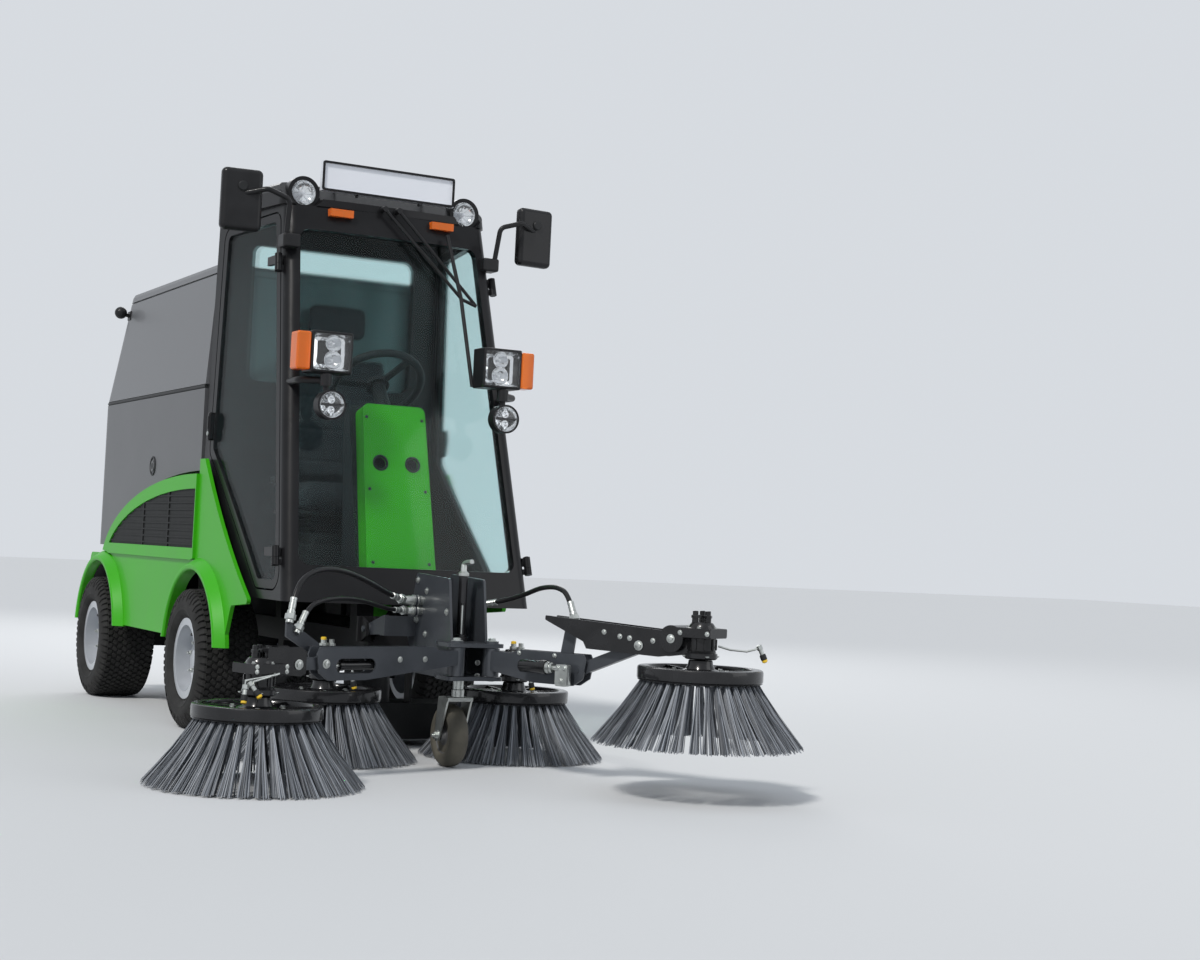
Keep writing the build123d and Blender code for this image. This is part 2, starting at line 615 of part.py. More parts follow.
# Headlamps and work lamps on brackets from the front pillars
HEAD_X = 315.0
HEAD_Y = -814.0
HEAD_Z = 1334.0
HEAD_HALF_X = 73.0
HEAD_HALF_Z = 70.0
HEAD_RIM = 8.0
HEAD_DEPTH = 95.0
LAMP_BORE = 34.0
WORK_X = 320.0
WORK_Y = -850.0
WORK_Z = 1156.0
WORK_R = 50.0
WORK_RING = 7.0
LAMP_POST_X = WORK_X + 6
LAMP_POST_Y = WORK_Y + 52
LAMP_ARM_Z = 1240.0
LENS = 6.0
with BuildPart() as headlamps:
    arm_x, arm_y = cab_line(LAMP_ARM_Z, 0)[0:2]
    for side in (-1, 1):
        soft_box((side * (HEAD_X - HEAD_HALF_X), side * (HEAD_X + HEAD_HALF_X)),
                 (HEAD_Y, HEAD_Y + HEAD_DEPTH),
                 (HEAD_Z - HEAD_HALF_Z, HEAD_Z + HEAD_HALF_Z), 6)
        block((side * (HEAD_X - HEAD_HALF_X + HEAD_RIM), side * (HEAD_X + HEAD_HALF_X - HEAD_RIM)),
              (HEAD_Y - 1, HEAD_Y + LAMP_BORE), (HEAD_Z - HEAD_HALF_Z + HEAD_RIM,
                                                 HEAD_Z + HEAD_HALF_Z - HEAD_RIM),
              mode=Mode.SUBTRACT)
        rod((side * WORK_X, WORK_Y, WORK_Z), (side * WORK_X, WORK_Y + 44, WORK_Z), WORK_R)
        with Locations(Plane(origin=(side * WORK_X, WORK_Y + 44, WORK_Z), z_dir=(0, 1, 0))):
            Cone(WORK_R, WORK_R / 2, 22, align=(Align.CENTER, Align.CENTER, Align.MIN))
        rod((side * WORK_X, WORK_Y - 1, WORK_Z), (side * WORK_X, WORK_Y + LAMP_BORE, WORK_Z),
            WORK_R - WORK_RING,
            mode=Mode.SUBTRACT)
        rod((side * LAMP_POST_X, LAMP_POST_Y, WORK_Z), (side * LAMP_POST_X, LAMP_POST_Y,
                                                        HEAD_Z - HEAD_HALF_Z + 4), 11)
        rod((side * LAMP_POST_X, LAMP_POST_Y, LAMP_ARM_Z - 20),
            (side * LAMP_POST_X, LAMP_POST_Y, LAMP_ARM_Z + 20), 20)
        tube([(side * (arm_x - 16), arm_y + 12, LAMP_ARM_Z), (side * (arm_x - 12), arm_y - 96, LAMP_ARM_Z),
              (side * LAMP_POST_X, LAMP_POST_Y, LAMP_ARM_Z)], 12, 30)
    add(cab_body(CAB_LOW_Z, CAB_TOP_Z, 0), mode=Mode.SUBTRACT)
with BuildPart() as lamp_lenses:
    lens_x = HEAD_HALF_X - HEAD_RIM - SEAT_GAP
    lens_z = HEAD_HALF_Z - HEAD_RIM - SEAT_GAP
    for side in (-1, 1):
        block((side * (HEAD_X - lens_x), side * (HEAD_X + lens_x)), (HEAD_Y - 2, HEAD_Y - 2 + LENS),
              (HEAD_Z - lens_z, HEAD_Z + lens_z))
        rod((side * WORK_X, WORK_Y - 2, WORK_Z), (side * WORK_X, WORK_Y - 2 + LENS, WORK_Z),
            WORK_R - WORK_RING - SEAT_GAP)
        rod((side * POD_X, POD_FRONT_Y + 2, POD_Z), (side * POD_X, POD_FRONT_Y + 2 + LENS, POD_Z),
            POD_R - POD_RING - SEAT_GAP)
INDICATOR = 50.0
FLASHER_X = (150, 235)
with BuildPart() as amber_lamps:
    for side in (-1, 1):
        inner_x = HEAD_X + HEAD_HALF_X + SEAT_GAP
        soft_box((side * inner_x, side * (inner_x + INDICATOR)), (HEAD_Y + 2, HEAD_Y + 72),
                 (HEAD_Z - HEAD_HALF_Z + 6, HEAD_Z + HEAD_HALF_Z - 6), 8)
        with BuildPart(mode=Mode.PRIVATE) as flasher:
            block((side * FLASHER_X[0], side * FLASHER_X[1]), (CAB_FRONT_TOP_Y - 58, CAB_FRONT_TOP_Y),
                  (CAB_TOP_Z - 34, CAB_TOP_Z - 8))
            add(cab_body(CAB_LOW_Z, CAB_TOP_Z, 0), mode=Mode.SUBTRACT)
        add(flasher.part)

# Wiper: two arms from spindles in the roof's lip, and one blade
WIPER_Z = CAB_TOP_Z + 13
with BuildPart() as wipers:
    for spindle_x, foot_x, foot_z in ((-34, 248, 1592), (20, 305, 1573)):
        rod((spindle_x, -507, WIPER_Z), (foot_x, -582, foot_z), 6)
        rod((spindle_x, -516, WIPER_Z), (spindle_x, -440, WIPER_Z), 10)
    rod((248, -582, 1592), (305, -581, 1573), 6)
    rod((206, -518, 1826), (245, -582, 1592), 7)
    rod((245, -582, 1592), (264, -673, 1275), 7)
    add(cab_roof.part, mode=Mode.SUBTRACT)
    add(cab_body(CAB_LOW_Z, CAB_TOP_Z, 0), mode=Mode.SUBTRACT)

# Side skirts: fenders, sill and ear of both sides
SILL_Z = 320.0
EAR_TOP_Z = 985.0
FLARE_HALF_Z = TYRE_R + 60
SKIRT_REAR_Y = FRAME_REAR_Y + 80
with BuildPart() as side_skirts:
    for side in (-1, 1):
        inner = side * PANEL_X if side < 0 else PANEL_X - PANEL_THICK
        with BuildPart(mode=Mode.PRIVATE) as skirt:
            with BuildSketch(Plane.YZ.offset(inner)) as panel:
                with BuildLine():
                    Polyline((SKIRT_REAR_Y, SILL_Z), (SKIRT_REAR_Y, SILL_Z + 100),
                             (SKIRT_REAR_Y - 100, SEAM_Z),
                             (EAR_REAR_Y, SEAM_Z), (EAR_REAR_Y, EAR_TOP_Z), (0, EAR_TOP_Z))
                    ThreePointArc((0, EAR_TOP_Z), (-291, 700), (-600, 480))
                    Polyline((-600, 480), (-400, 465), (-330, SILL_Z), (SKIRT_REAR_Y, SILL_Z))
                make_face()
                fillet(panel.vertices().filter_by_position(Axis.X, -650, -550), radius=12)
                fillet(panel.vertices().filter_by_position(Axis.X, SKIRT_REAR_Y - 120, SKIRT_REAR_Y + 1),
                       radius=30)
                fillet(panel.vertices().filter_by_position(Axis.X, -405, -325), radius=20)
                with Locations((0, TYRE_R), (WHEELBASE, TYRE_R)):
                    Circle(ARCH_R, mode=Mode.SUBTRACT)
            extrude(panel.sketch, amount=PANEL_THICK)
            for centre in (0, WHEELBASE):
                with BuildPart(mode=Mode.PRIVATE) as flare:
                    with BuildSketch(Plane(origin=(0, centre, TYRE_R), x_dir=(1, 0, 0),
                                           z_dir=(0, -1, 0))) as lip:
                        with BuildLine():
                            Polyline((side * (PANEL_X - PANEL_THICK), ARCH_R), (side * FENDER_X, ARCH_R),
                                     (side * FENDER_X, ARCH_R + 20), (side * PANEL_X, ARCH_R + FENDER_LIP),
                                     (side * (PANEL_X - PANEL_THICK), ARCH_R + FENDER_LIP), close=True)
                        make_face()
                        fillet(lip.vertices().filter_by_position(Axis.X,
                                                                 *sorted((side * (FENDER_X - 1),
                                                                          side * (FENDER_X + 1)))),
                               radius=9)
                    revolve(lip.sketch, axis=Axis((0, centre, TYRE_R), (1, 0, 0)))
                    block((-700, 700), (centre - 600, centre + 600), (-400, FLARE_HALF_Z), mode=Mode.SUBTRACT)
                add(flare.part)
        add(skirt.part)


def cover_sketch(x, shrink, low_z, front_y=EAR_REAR_Y):
    """The engine cover's arched outline on the plane at x, drawn in by shrink, above low_z."""
    top_z = COVER_BASE_Z + COVER_RISE - shrink
    foot_y = COVER_BASE_Y + (COVER_REACH - shrink) * sqrt(1 - ((low_z - COVER_BASE_Z) / (COVER_RISE - shrink)) ** 2)
    with BuildSketch(Plane.YZ.offset(x)) as face:
        with BuildLine():
            EllipticalCenterArc((COVER_BASE_Y, COVER_BASE_Z), COVER_REACH - shrink, COVER_RISE - shrink,
                                start_angle=0, arc_size=90)
            Polyline((COVER_BASE_Y, top_z), (EAR_REAR_Y, top_z), (EAR_REAR_Y, COVER_BASE_Z),
                     (COVER_BASE_Y + COVER_REACH - shrink, COVER_BASE_Z))
        make_face()
        with Locations(((front_y + foot_y + 5) / 2, (low_z + top_z + 5) / 2)):
            Rectangle(foot_y + 5 - front_y, top_z + 5 - low_z, mode=Mode.INTERSECT)
    return face.sketch


# Engine covers: one arched pan a side, with the vent cut out
COVER_DEPTH = 60.0
COVER_WALL = 15.0
VENT_LOW_Z = SEAM_Z + 45
VENT_BAND = 55.0
VENT_FRONT_Y = EAR_REAR_Y + 8
with BuildPart() as engine_covers:
    for side in (-1, 1):
        outer_x = -COVER_X if side < 0 else COVER_X - COVER_DEPTH
        pan_x = -COVER_X + COVER_WALL if side < 0 else COVER_X - COVER_DEPTH
        with BuildPart(mode=Mode.PRIVATE) as cover:
            extrude(cover_sketch(outer_x, 0, SEAM_Z + 1), amount=COVER_DEPTH)
            extrude(cover_sketch(pan_x, COVER_WALL, SEAM_Z + 1 + COVER_WALL), amount=COVER_DEPTH - COVER_WALL,
                    mode=Mode.SUBTRACT)
            extrude(cover_sketch(outer_x, VENT_BAND, VENT_LOW_Z, VENT_FRONT_Y), amount=COVER_DEPTH,
                    mode=Mode.SUBTRACT)
            for centre in (0, WHEELBASE):
                with Locations(Location((side * COVER_X, centre, TYRE_R), (0, 90, 0))):
                    Cylinder(ARCH_R + FENDER_LIP + 2, 200, mode=Mode.SUBTRACT)
            block((-CAB_REAR_LOW_X - 5, CAB_REAR_LOW_X + 5), (0, CAB_REAR_Y + 6), (SEAM_Z, 1000),
                  mode=Mode.SUBTRACT)
        add(cover.part)

# Vent grilles in the covers: a mesh plate with slats and two posts
SLATS = 8
SLAT_PITCH = 26.0
with BuildPart() as vent_grilles:
    for side in (-1, 1):
        plate_x = -COVER_X + 7 if side < 0 else COVER_X - 12
        bars_x = -COVER_X + 3 if side < 0 else COVER_X - 12
        with BuildPart(mode=Mode.PRIVATE) as grille:
            extrude(cover_sketch(plate_x, VENT_BAND, VENT_LOW_Z, VENT_FRONT_Y), amount=5)
        with BuildPart(mode=Mode.PRIVATE) as bars:
            for slat in range(SLATS):
                slat_z = VENT_LOW_Z + SLAT_PITCH * (slat + 0.5)
                block((bars_x, bars_x + 9), (VENT_FRONT_Y, VENT_FRONT_Y + COVER_REACH),
                      (slat_z - 3, slat_z + 3))
            for post_y in (420, 780):
                block((bars_x, bars_x + 9), (post_y, post_y + 14), (VENT_LOW_Z, VENT_LOW_Z + COVER_RISE))
            extrude(cover_sketch(bars_x, VENT_BAND, VENT_LOW_Z, VENT_FRONT_Y), amount=9, mode=Mode.INTERSECT)
        add(grille.part)
        add(bars.part)


def hopper_section(z, rear_y, half_x, corner, wall=0.0):
    """A plan section of the hopper with two round rear corners."""
    with BuildSketch(Plane.XY.offset(z)) as plan:
        x = half_x - wall
        front = HOPPER_FRONT_Y + wall
        rear = rear_y - wall
        r = corner - wall
        with BuildLine():
            Line((-x, front), (x, front))
            Line((x, front), (x, rear - r))
            RadiusArc((x, rear - r), (x - r, rear), -r)
            Line((x - r, rear), (-x + r, rear))
            RadiusArc((-x + r, rear), (-x, rear - r), -r)
            Line((-x, rear - r), (-x, front))
        make_face()
    return plan.sketch


def under_arch(z_gap, wall):
    """What the hopper's tank leaves free below it: the covers' arch plus a gap."""
    with BuildPart() as arch:
        with BuildSketch(Plane.YZ.offset(-700)):
            with BuildLine():
                EllipticalCenterArc((COVER_BASE_Y, COVER_BASE_Z), COVER_REACH + z_gap + wall,
                                    COVER_RISE + z_gap + wall,
                                    start_angle=0, arc_size=90)
                Polyline((COVER_BASE_Y, COVER_BASE_Z + COVER_RISE + z_gap + wall),
                         (-200, COVER_BASE_Z + COVER_RISE + z_gap + wall),
                         (-200, 0), (COVER_BASE_Y + COVER_REACH + z_gap + wall, 0),
                         (COVER_BASE_Y + COVER_REACH + z_gap + wall, COVER_BASE_Z))
            make_face()
        extrude(amount=1400)
    return arch.part


# Hopper tank: open towards the hood, with the rear outlet cut out
TANK_LOW_Z = 645.0
DOOR_X = 330.0
DOOR_HINGES = (-220, 220)
OUTLET_LOW_Z = 700.0
OUTLET_TOP_Z = DOOR_HINGE_Z - 10
TIP_LUG_X = 250.0
PLUG_Y = 773.0
PLUG_Z = 973.0
GROOVE = 16.0
GROOVE_DEEP = 8.0
with BuildPart() as hopper_tank:
    add(extrude(hopper_section(TANK_LOW_Z, HOPPER_REAR_Y, HOPPER_X, HOPPER_CORNER),
                HOPPER_SEAM_Z - TANK_LOW_Z))
    add(under_arch(HOPPER_GAP, 0), mode=Mode.SUBTRACT)
    with BuildPart(mode=Mode.PRIVATE) as inside:
        add(extrude(hopper_section(TANK_LOW_Z + HOPPER_WALL, HOPPER_REAR_Y, HOPPER_X, HOPPER_CORNER,
                                   HOPPER_WALL),
                    HOPPER_SEAM_Z - TANK_LOW_Z))
        add(under_arch(HOPPER_GAP, HOPPER_WALL), mode=Mode.SUBTRACT)
    add(inside.part, mode=Mode.SUBTRACT)
    block((-DOOR_X, DOOR_X), (HOPPER_REAR_Y - 60, HOPPER_REAR_Y + 10), (OUTLET_LOW_Z, OUTLET_TOP_Z),
          mode=Mode.SUBTRACT)
    for side in (-1, 1):
        rod((side * (HOPPER_X - 2), PLUG_Y, PLUG_Z), (side * (HOPPER_X + 4), PLUG_Y, PLUG_Z), 22)
        rod((side * (HOPPER_X + 1), PLUG_Y, PLUG_Z), (side * (HOPPER_X + 5), PLUG_Y, PLUG_Z), 14,
            mode=Mode.SUBTRACT)
        side_plate([(TIP_Y - 90, TANK_LOW_Z + 4), (HOPPER_REAR_Y, TANK_LOW_Z + 40), (TIP_Y + 14, TIP_Z + 8),
                    (TIP_Y + 8, TIP_Z - 14), (TIP_Y - 12, TIP_Z - 12)], side * TIP_LUG_X - 8, 16)
        rod((side * TIP_LUG_X - 8, TIP_Y, TIP_Z), (side * TIP_LUG_X + 8, TIP_Y, TIP_Z), 16)
        rod((side * TIP_LUG_X - 9, TIP_Y, TIP_Z), (side * TIP_LUG_X + 9, TIP_Y, TIP_Z), 8 + PIN_CLEAR,
            mode=Mode.SUBTRACT)

    for x in DOOR_HINGES:
        rod((x - 34, DOOR_HINGE_Y, DOOR_HINGE_Z), (x - 12, DOOR_HINGE_Y, DOOR_HINGE_Z), 9)
        block((x - 34, x - 12), (HOPPER_REAR_Y - HOPPER_WALL, DOOR_HINGE_Y),
              (DOOR_HINGE_Z - 6, DOOR_HINGE_Z + 9))
        rod((x - 34, DOOR_HINGE_Y, DOOR_HINGE_Z), (x + 14, DOOR_HINGE_Y, DOOR_HINGE_Z), 5)

# Hopper hood with a groove at the seam and one below its lid
HOOD_TOP_REAR_Y = HOPPER_REAR_Y - 230
HOOD_TOP_X = HOPPER_X - 30
LID = 46.0


def hood_section(z, inset):
    """A plan section of the hood at height z, drawn in by inset."""
    share = (z - HOPPER_SEAM_Z) / (HOPPER_TOP_Z - HOPPER_SEAM_Z)
    return hopper_section(z, HOPPER_REAR_Y + share * (HOOD_TOP_REAR_Y - HOPPER_REAR_Y),
                          HOPPER_X + share * (HOOD_TOP_X - HOPPER_X), HOPPER_CORNER, inset)


def hood_ring(z, height, depth):
    """A groove round the hood, from z upwards."""
    with BuildPart() as ring:
        loft([hood_section(z, -20), hood_section(z + height, -20)], ruled=True)
        loft([hood_section(z - 1, depth), hood_section(z + height + 1, depth)], ruled=True,
             mode=Mode.SUBTRACT)
    return ring.part


# Height of the hood's sections below its top, and their inset
HOOD_SECTIONS = ((HOPPER_TOP_Z - HOPPER_SEAM_Z, 0.0), (20.0, 0.0), (7.0, 5.0), (0.0, 20.0))
with BuildPart() as hopper_hood:
    for lower, upper in zip(HOOD_SECTIONS, HOOD_SECTIONS[1:]):
        loft([hood_section(HOPPER_TOP_Z - lower[0], lower[1]),
              hood_section(HOPPER_TOP_Z - upper[0], upper[1])],
             ruled=True)
    loft([hood_section(HOPPER_SEAM_Z - 1, HOPPER_WALL), hood_section(HOPPER_TOP_Z - 24, HOPPER_WALL)],
         ruled=True, mode=Mode.SUBTRACT)
    add(hood_ring(HOPPER_SEAM_Z, GROOVE, GROOVE_DEEP), mode=Mode.SUBTRACT)
    add(hood_ring(HOPPER_TOP_Z - LID, 7, GROOVE_DEEP), mode=Mode.SUBTRACT)

# Hopper rear door, hinged along its top edge, with ribs and a latch
with BuildPart() as hopper_door:
    block((-DOOR_X + 8, DOOR_X - 8), (HOPPER_REAR_Y - 12, HOPPER_REAR_Y + 4),
          (OUTLET_LOW_Z + 8, OUTLET_TOP_Z - 8))
    for x in (-180, 0, 180):
        soft_box((x - 16, x + 16), (HOPPER_REAR_Y, HOPPER_REAR_Y + 12),
                 (OUTLET_LOW_Z + 40, OUTLET_TOP_Z - 110), 5)
    soft_box((-70, 70), (HOPPER_REAR_Y + 2, HOPPER_REAR_Y + 30), (OUTLET_LOW_Z + 14, OUTLET_LOW_Z + 38), 6)
    for x in DOOR_HINGES:
        block((x - 11.5, x + 14), (HOPPER_REAR_Y + 4, HOPPER_REAR_Y + 10),
              (OUTLET_TOP_Z - 70, DOOR_HINGE_Z - 5))
        rod((x - 11.5, DOOR_HINGE_Y, DOOR_HINGE_Z), (x + 14, DOOR_HINGE_Y, DOOR_HINGE_Z), 9)
        rod((x - 12, DOOR_HINGE_Y, DOOR_HINGE_Z), (x + 15, DOOR_HINGE_Y, DOOR_HINGE_Z), 5 + PIN_CLEAR,
            mode=Mode.SUBTRACT)

# Rear camera: a ball on a bracket at the hood's right side
CAMERA_Y = HOPPER_REAR_Y - 330
CAMERA_Z = HOPPER_TOP_Z - 90
CAMERA_R = 26.0
camera_share = (CAMERA_Z - HOPPER_SEAM_Z) / (HOPPER_TOP_Z - HOPPER_SEAM_Z)
camera_wall_x = HOPPER_X + camera_share * (HOOD_TOP_X - HOPPER_X)
with BuildPart() as rear_camera:
    soft_box((-camera_wall_x - 5, -camera_wall_x + 9), (CAMERA_Y - 24, CAMERA_Y + 24),
             (CAMERA_Z - 24, CAMERA_Z + 16), 4)
    rod((-camera_wall_x, CAMERA_Y, CAMERA_Z - 6), (-camera_wall_x - 34, CAMERA_Y, CAMERA_Z + 4), 8)
    with Locations((-camera_wall_x - 40, CAMERA_Y, CAMERA_Z + 6)):
        Sphere(CAMERA_R)
    add(hopper_hood.part, mode=Mode.SUBTRACT)

# Rear bumper with lamps
LAMP_LOW_Z = 470.0
with BuildPart() as rear_lamps:
    for side in (-1, 1):
        soft_box((side * 350, side * 420), (FRAME_REAR_Y + 30 + SEAT_GAP, FRAME_REAR_Y + 56),
                 (LAMP_LOW_Z, LAMP_LOW_Z + 90), 5)

# Chassis
OUTRIGGERS = (520, 900)
POST_FOOT_Y = FRAME_REAR_Y - 40
with BuildPart() as chassis:
    for side in (-1, 1):
        block((side * (RAIL_X - RAIL_WIDTH / 2), side * (RAIL_X + RAIL_WIDTH / 2)),
              (FRAME_FRONT_Y, FRAME_REAR_Y), (RAIL_LOW_Z, RAIL_LOW_Z + RAIL_HEIGHT))
        for foot_y in (-760, 20):
            block((side * 100, side * 160), (foot_y, foot_y + 60), (RAIL_LOW_Z + RAIL_HEIGHT, CAB_LOW_Z))
        # ears of the front frame's lift pin
        for ear in (146, 184):
            side_plate([(FRAME_FRONT_Y, 376), (FRAME_FRONT_Y, 460), (LIFT_Y - 20, 442), (LIFT_Y - 20, 398)],
                       side * ear - 4, 8)
            rod((side * ear - 4, LIFT_Y, LIFT_Z), (side * ear + 4, LIFT_Y, LIFT_Z), 10 + PIN_CLEAR,
                mode=Mode.SUBTRACT)
        # hinge posts of the hopper
        side_plate([(POST_FOOT_Y, RAIL_LOW_Z + RAIL_HEIGHT), (TIP_Y + 14, RAIL_LOW_Z + RAIL_HEIGHT),
                    (TIP_Y + 14, TIP_Z),
                    (TIP_Y - 14, TIP_Z), (POST_FOOT_Y, TIP_Z - 70)], side * (TIP_LUG_X + 21) - 9, 18)
        rod((side * (TIP_LUG_X + 12), TIP_Y, TIP_Z), (side * (TIP_LUG_X + 30), TIP_Y, TIP_Z), 15)
        rod((side * (TIP_LUG_X - 12), TIP_Y, TIP_Z), (side * (TIP_LUG_X + 30), TIP_Y, TIP_Z), 8)
        # skirt outriggers
        for place in OUTRIGGERS:
            block((side * 150, side * (PANEL_X - PANEL_THICK)), (place, place + 40), (350, 400))
    for place in (FRAME_FRONT_Y, 300, 1000, FRAME_REAR_Y - 30):
        block((-RAIL_X, RAIL_X), (place, place + 30), (RAIL_LOW_Z + 10, RAIL_LOW_Z + RAIL_HEIGHT - 10))
    block((-200, 200), (FRAME_FRONT_Y, FRAME_FRONT_Y + 15), (376, 460))
    upright_plate([(-420, RAIL_LOW_Z), (420, RAIL_LOW_Z), (420, LAMP_LOW_Z + 100), (-420, LAMP_LOW_Z + 100)],
                  FRAME_REAR_Y, 30, 24)
    # lashing eyes
    for side in (-1, 1):
        block((side * EYE_X - 6, side * EYE_X + 6), (FRAME_REAR_Y + 30, EYE_Y), (EYE_Z - 26, EYE_Z + 26))
        rod((side * EYE_X - 6, EYE_Y, EYE_Z), (side * EYE_X + 6, EYE_Y, EYE_Z), 26)
        rod((side * EYE_X - 7, EYE_Y, EYE_Z), (side * EYE_X + 7, EYE_Y, EYE_Z), EYE_R, mode=Mode.SUBTRACT)
    # tow clevis
    for z in (348, 392):
        block((-40, 40), (FRAME_REAR_Y + 30, HITCH_END_Y), (z - 6, z + 6))
    rod((0, HITCH_Y, 340), (0, HITCH_Y, 400), HITCH_R, mode=Mode.SUBTRACT)

# Axles
with BuildPart() as front_axle:
    block((-225, 225), (-32, 32), (TYRE_R - 32, TYRE_R + 32))
    for side in (-1, 1):
        block((side * 100, side * 160), (-30, 30), (TYRE_R + 32, RAIL_LOW_Z))
        for z in (TYRE_R - 62, TYRE_R + 48):
            block((side * 200, side * KINGPIN_X), (-22, 22), (z, z + 14))
            rod((side * KINGPIN_X, 0, z), (side * KINGPIN_X, 0, z + 14), 22)
            rod((side * KINGPIN_X, 0, z), (side * KINGPIN_X, 0, z + 14), KINGPIN_R + PIN_CLEAR,
                mode=Mode.SUBTRACT)
        block((side * 200, side * 225), (-22, 22), (TYRE_R - 62, TYRE_R + 62))
HUB_OUT_X = WHEEL_X + 48
with BuildPart() as rear_axle:
    block((-290, 290), (WHEELBASE - 35, WHEELBASE + 35), (TYRE_R - 35, TYRE_R + 35))
    for side in (-1, 1):
        block((side * 100, side * 160), (WHEELBASE - 35, WHEELBASE + 35), (TYRE_R + 35, RAIL_LOW_Z))
        rod((side * 290, WHEELBASE, TYRE_R), (side * (HUB_OUT_X - 4), WHEELBASE, TYRE_R), STUB_R)
knuckles = {}
for name, side in SIDES:
    with BuildPart() as knuckle:
        rod((side * KINGPIN_X, 0, TYRE_R - 60), (side * KINGPIN_X, 0, TYRE_R + 60), KINGPIN_R)
        rod((side * KINGPIN_X, 0, TYRE_R - 46), (side * KINGPIN_X, 0, TYRE_R + 46), 21)
        rod((side * KINGPIN_X, 0, TYRE_R), (side * (HUB_OUT_X - 4), 0, TYRE_R), STUB_R)
    knuckles[name] = knuckle

# Engine
with BuildPart() as engine:
    block((-220, 220), (330, WHEELBASE - 500), (RAIL_LOW_Z + RAIL_HEIGHT, 780))

# Suction mouth and duct
DUCT_R = 62.0
MOUTH_WALL = 8.0
with BuildPart() as suction_unit:
    block((-320, 320), (-632, -430), (25, 150))
    block((-320 + MOUTH_WALL, 320 - MOUTH_WALL), (-632 + MOUTH_WALL, -430 - MOUTH_WALL),
          (20, 150 - MOUTH_WALL),
          mode=Mode.SUBTRACT)
    with BuildLine() as duct_route:
        FilletPolyline((0, -530, 146), (0, -530, 260), (0, -330, 372), (0, 105, 372), (0, 236, 560),
                       (0, 236, 880),
                       radius=100)
    with BuildSketch(Plane(origin=(0, -530, 146), z_dir=(0, 0, 1))) as duct_round:
        Circle(DUCT_R)
    sweep(duct_round.sketch, path=duct_route.wires()[0])
    rod((0, -530, 140), (0, -530, 190), DUCT_R - 6, mode=Mode.SUBTRACT)
    for side in (-1, 1):
        block((side * 110, side * 118), (-610, -560), (150, RAIL_LOW_Z))

# Mouth brush arms with motors
MOUTH_ARM_Z = 345.0
with BuildPart() as mouth_brush_arms:
    for side in (-1, 1):
        motor(side * MOUTH_BRUSH_X, MOUTH_BRUSH_Y, DISC_TOP_Z + 28)
        flat_plate([(side * 160, -862), (side * 160, -790), (side * 380, -930), (side * 386, -990),
                    (side * 320, -1014)],
                   MOUTH_ARM_Z, 12)
        rod((side * MOUTH_BRUSH_X, MOUTH_BRUSH_Y, MOUTH_ARM_Z - 20),
            (side * MOUTH_BRUSH_X, MOUTH_BRUSH_Y, MOUTH_ARM_Z + 16), 30)

# Wheels
tyres = {}
rims = {}
bead = RIM_WIDTH / 2 - FLANGE_THICK
half = TYRE_WIDTH / 2
for axle, y in AXLES:
    for name, side in SIDES:
        at = Plane(origin=(side * WHEEL_X, y, TYRE_R), x_dir=(0, 1, 0), z_dir=(side, 0, 0))
        with BuildPart() as tyre:
            with BuildSketch(Plane(at.origin, x_dir=at.z_dir, z_dir=at.x_dir)) as profile:
                with BuildLine():
                    Polyline((-half + SHOULDER_IN, TYRE_R), (-half + 5, TYRE_R - 18), (-half, TYRE_R - 40),
                             (-half, 182),
                             (-half + 6, 164), (-bead, FLANGE_R), (-bead, BEAD_R), (bead, BEAD_R),
                             (bead, FLANGE_R),
                             (half - 6, 164), (half, 182), (half, TYRE_R - 40), (half - 5, TYRE_R - 18),
                             (half - SHOULDER_IN, TYRE_R), close=True)
                make_face()
            revolve(axis=Axis(at.origin, at.z_dir))
        with BuildPart() as rim:
            with BuildSketch(Plane(at.origin, x_dir=at.z_dir, z_dir=at.x_dir)):
                with BuildLine():
                    Polyline((-RIM_WIDTH / 2, FLANGE_R), (-bead, FLANGE_R), (-bead, BEAD_R), (bead, BEAD_R),
                             (bead, FLANGE_R), (RIM_WIDTH / 2, FLANGE_R), (RIM_WIDTH / 2, BEAD_R - RIM_WALL),
                             (40, BEAD_R - RIM_WALL), (20, 80), (36, 70), (48, HUB_R),
                             (48, STUB_R + PIN_CLEAR),
                             (0, STUB_R + PIN_CLEAR), (0, HUB_R), (12, 80), (26, BEAD_R - RIM_WALL),
                             (-RIM_WIDTH / 2, BEAD_R - RIM_WALL), (-RIM_WIDTH / 2, FLANGE_R))
                make_face()
            revolve(axis=Axis(at.origin, at.z_dir))
        tyres[f"{axle}_{name}"] = tyre
        rims[f"{axle}_{name}"] = rim

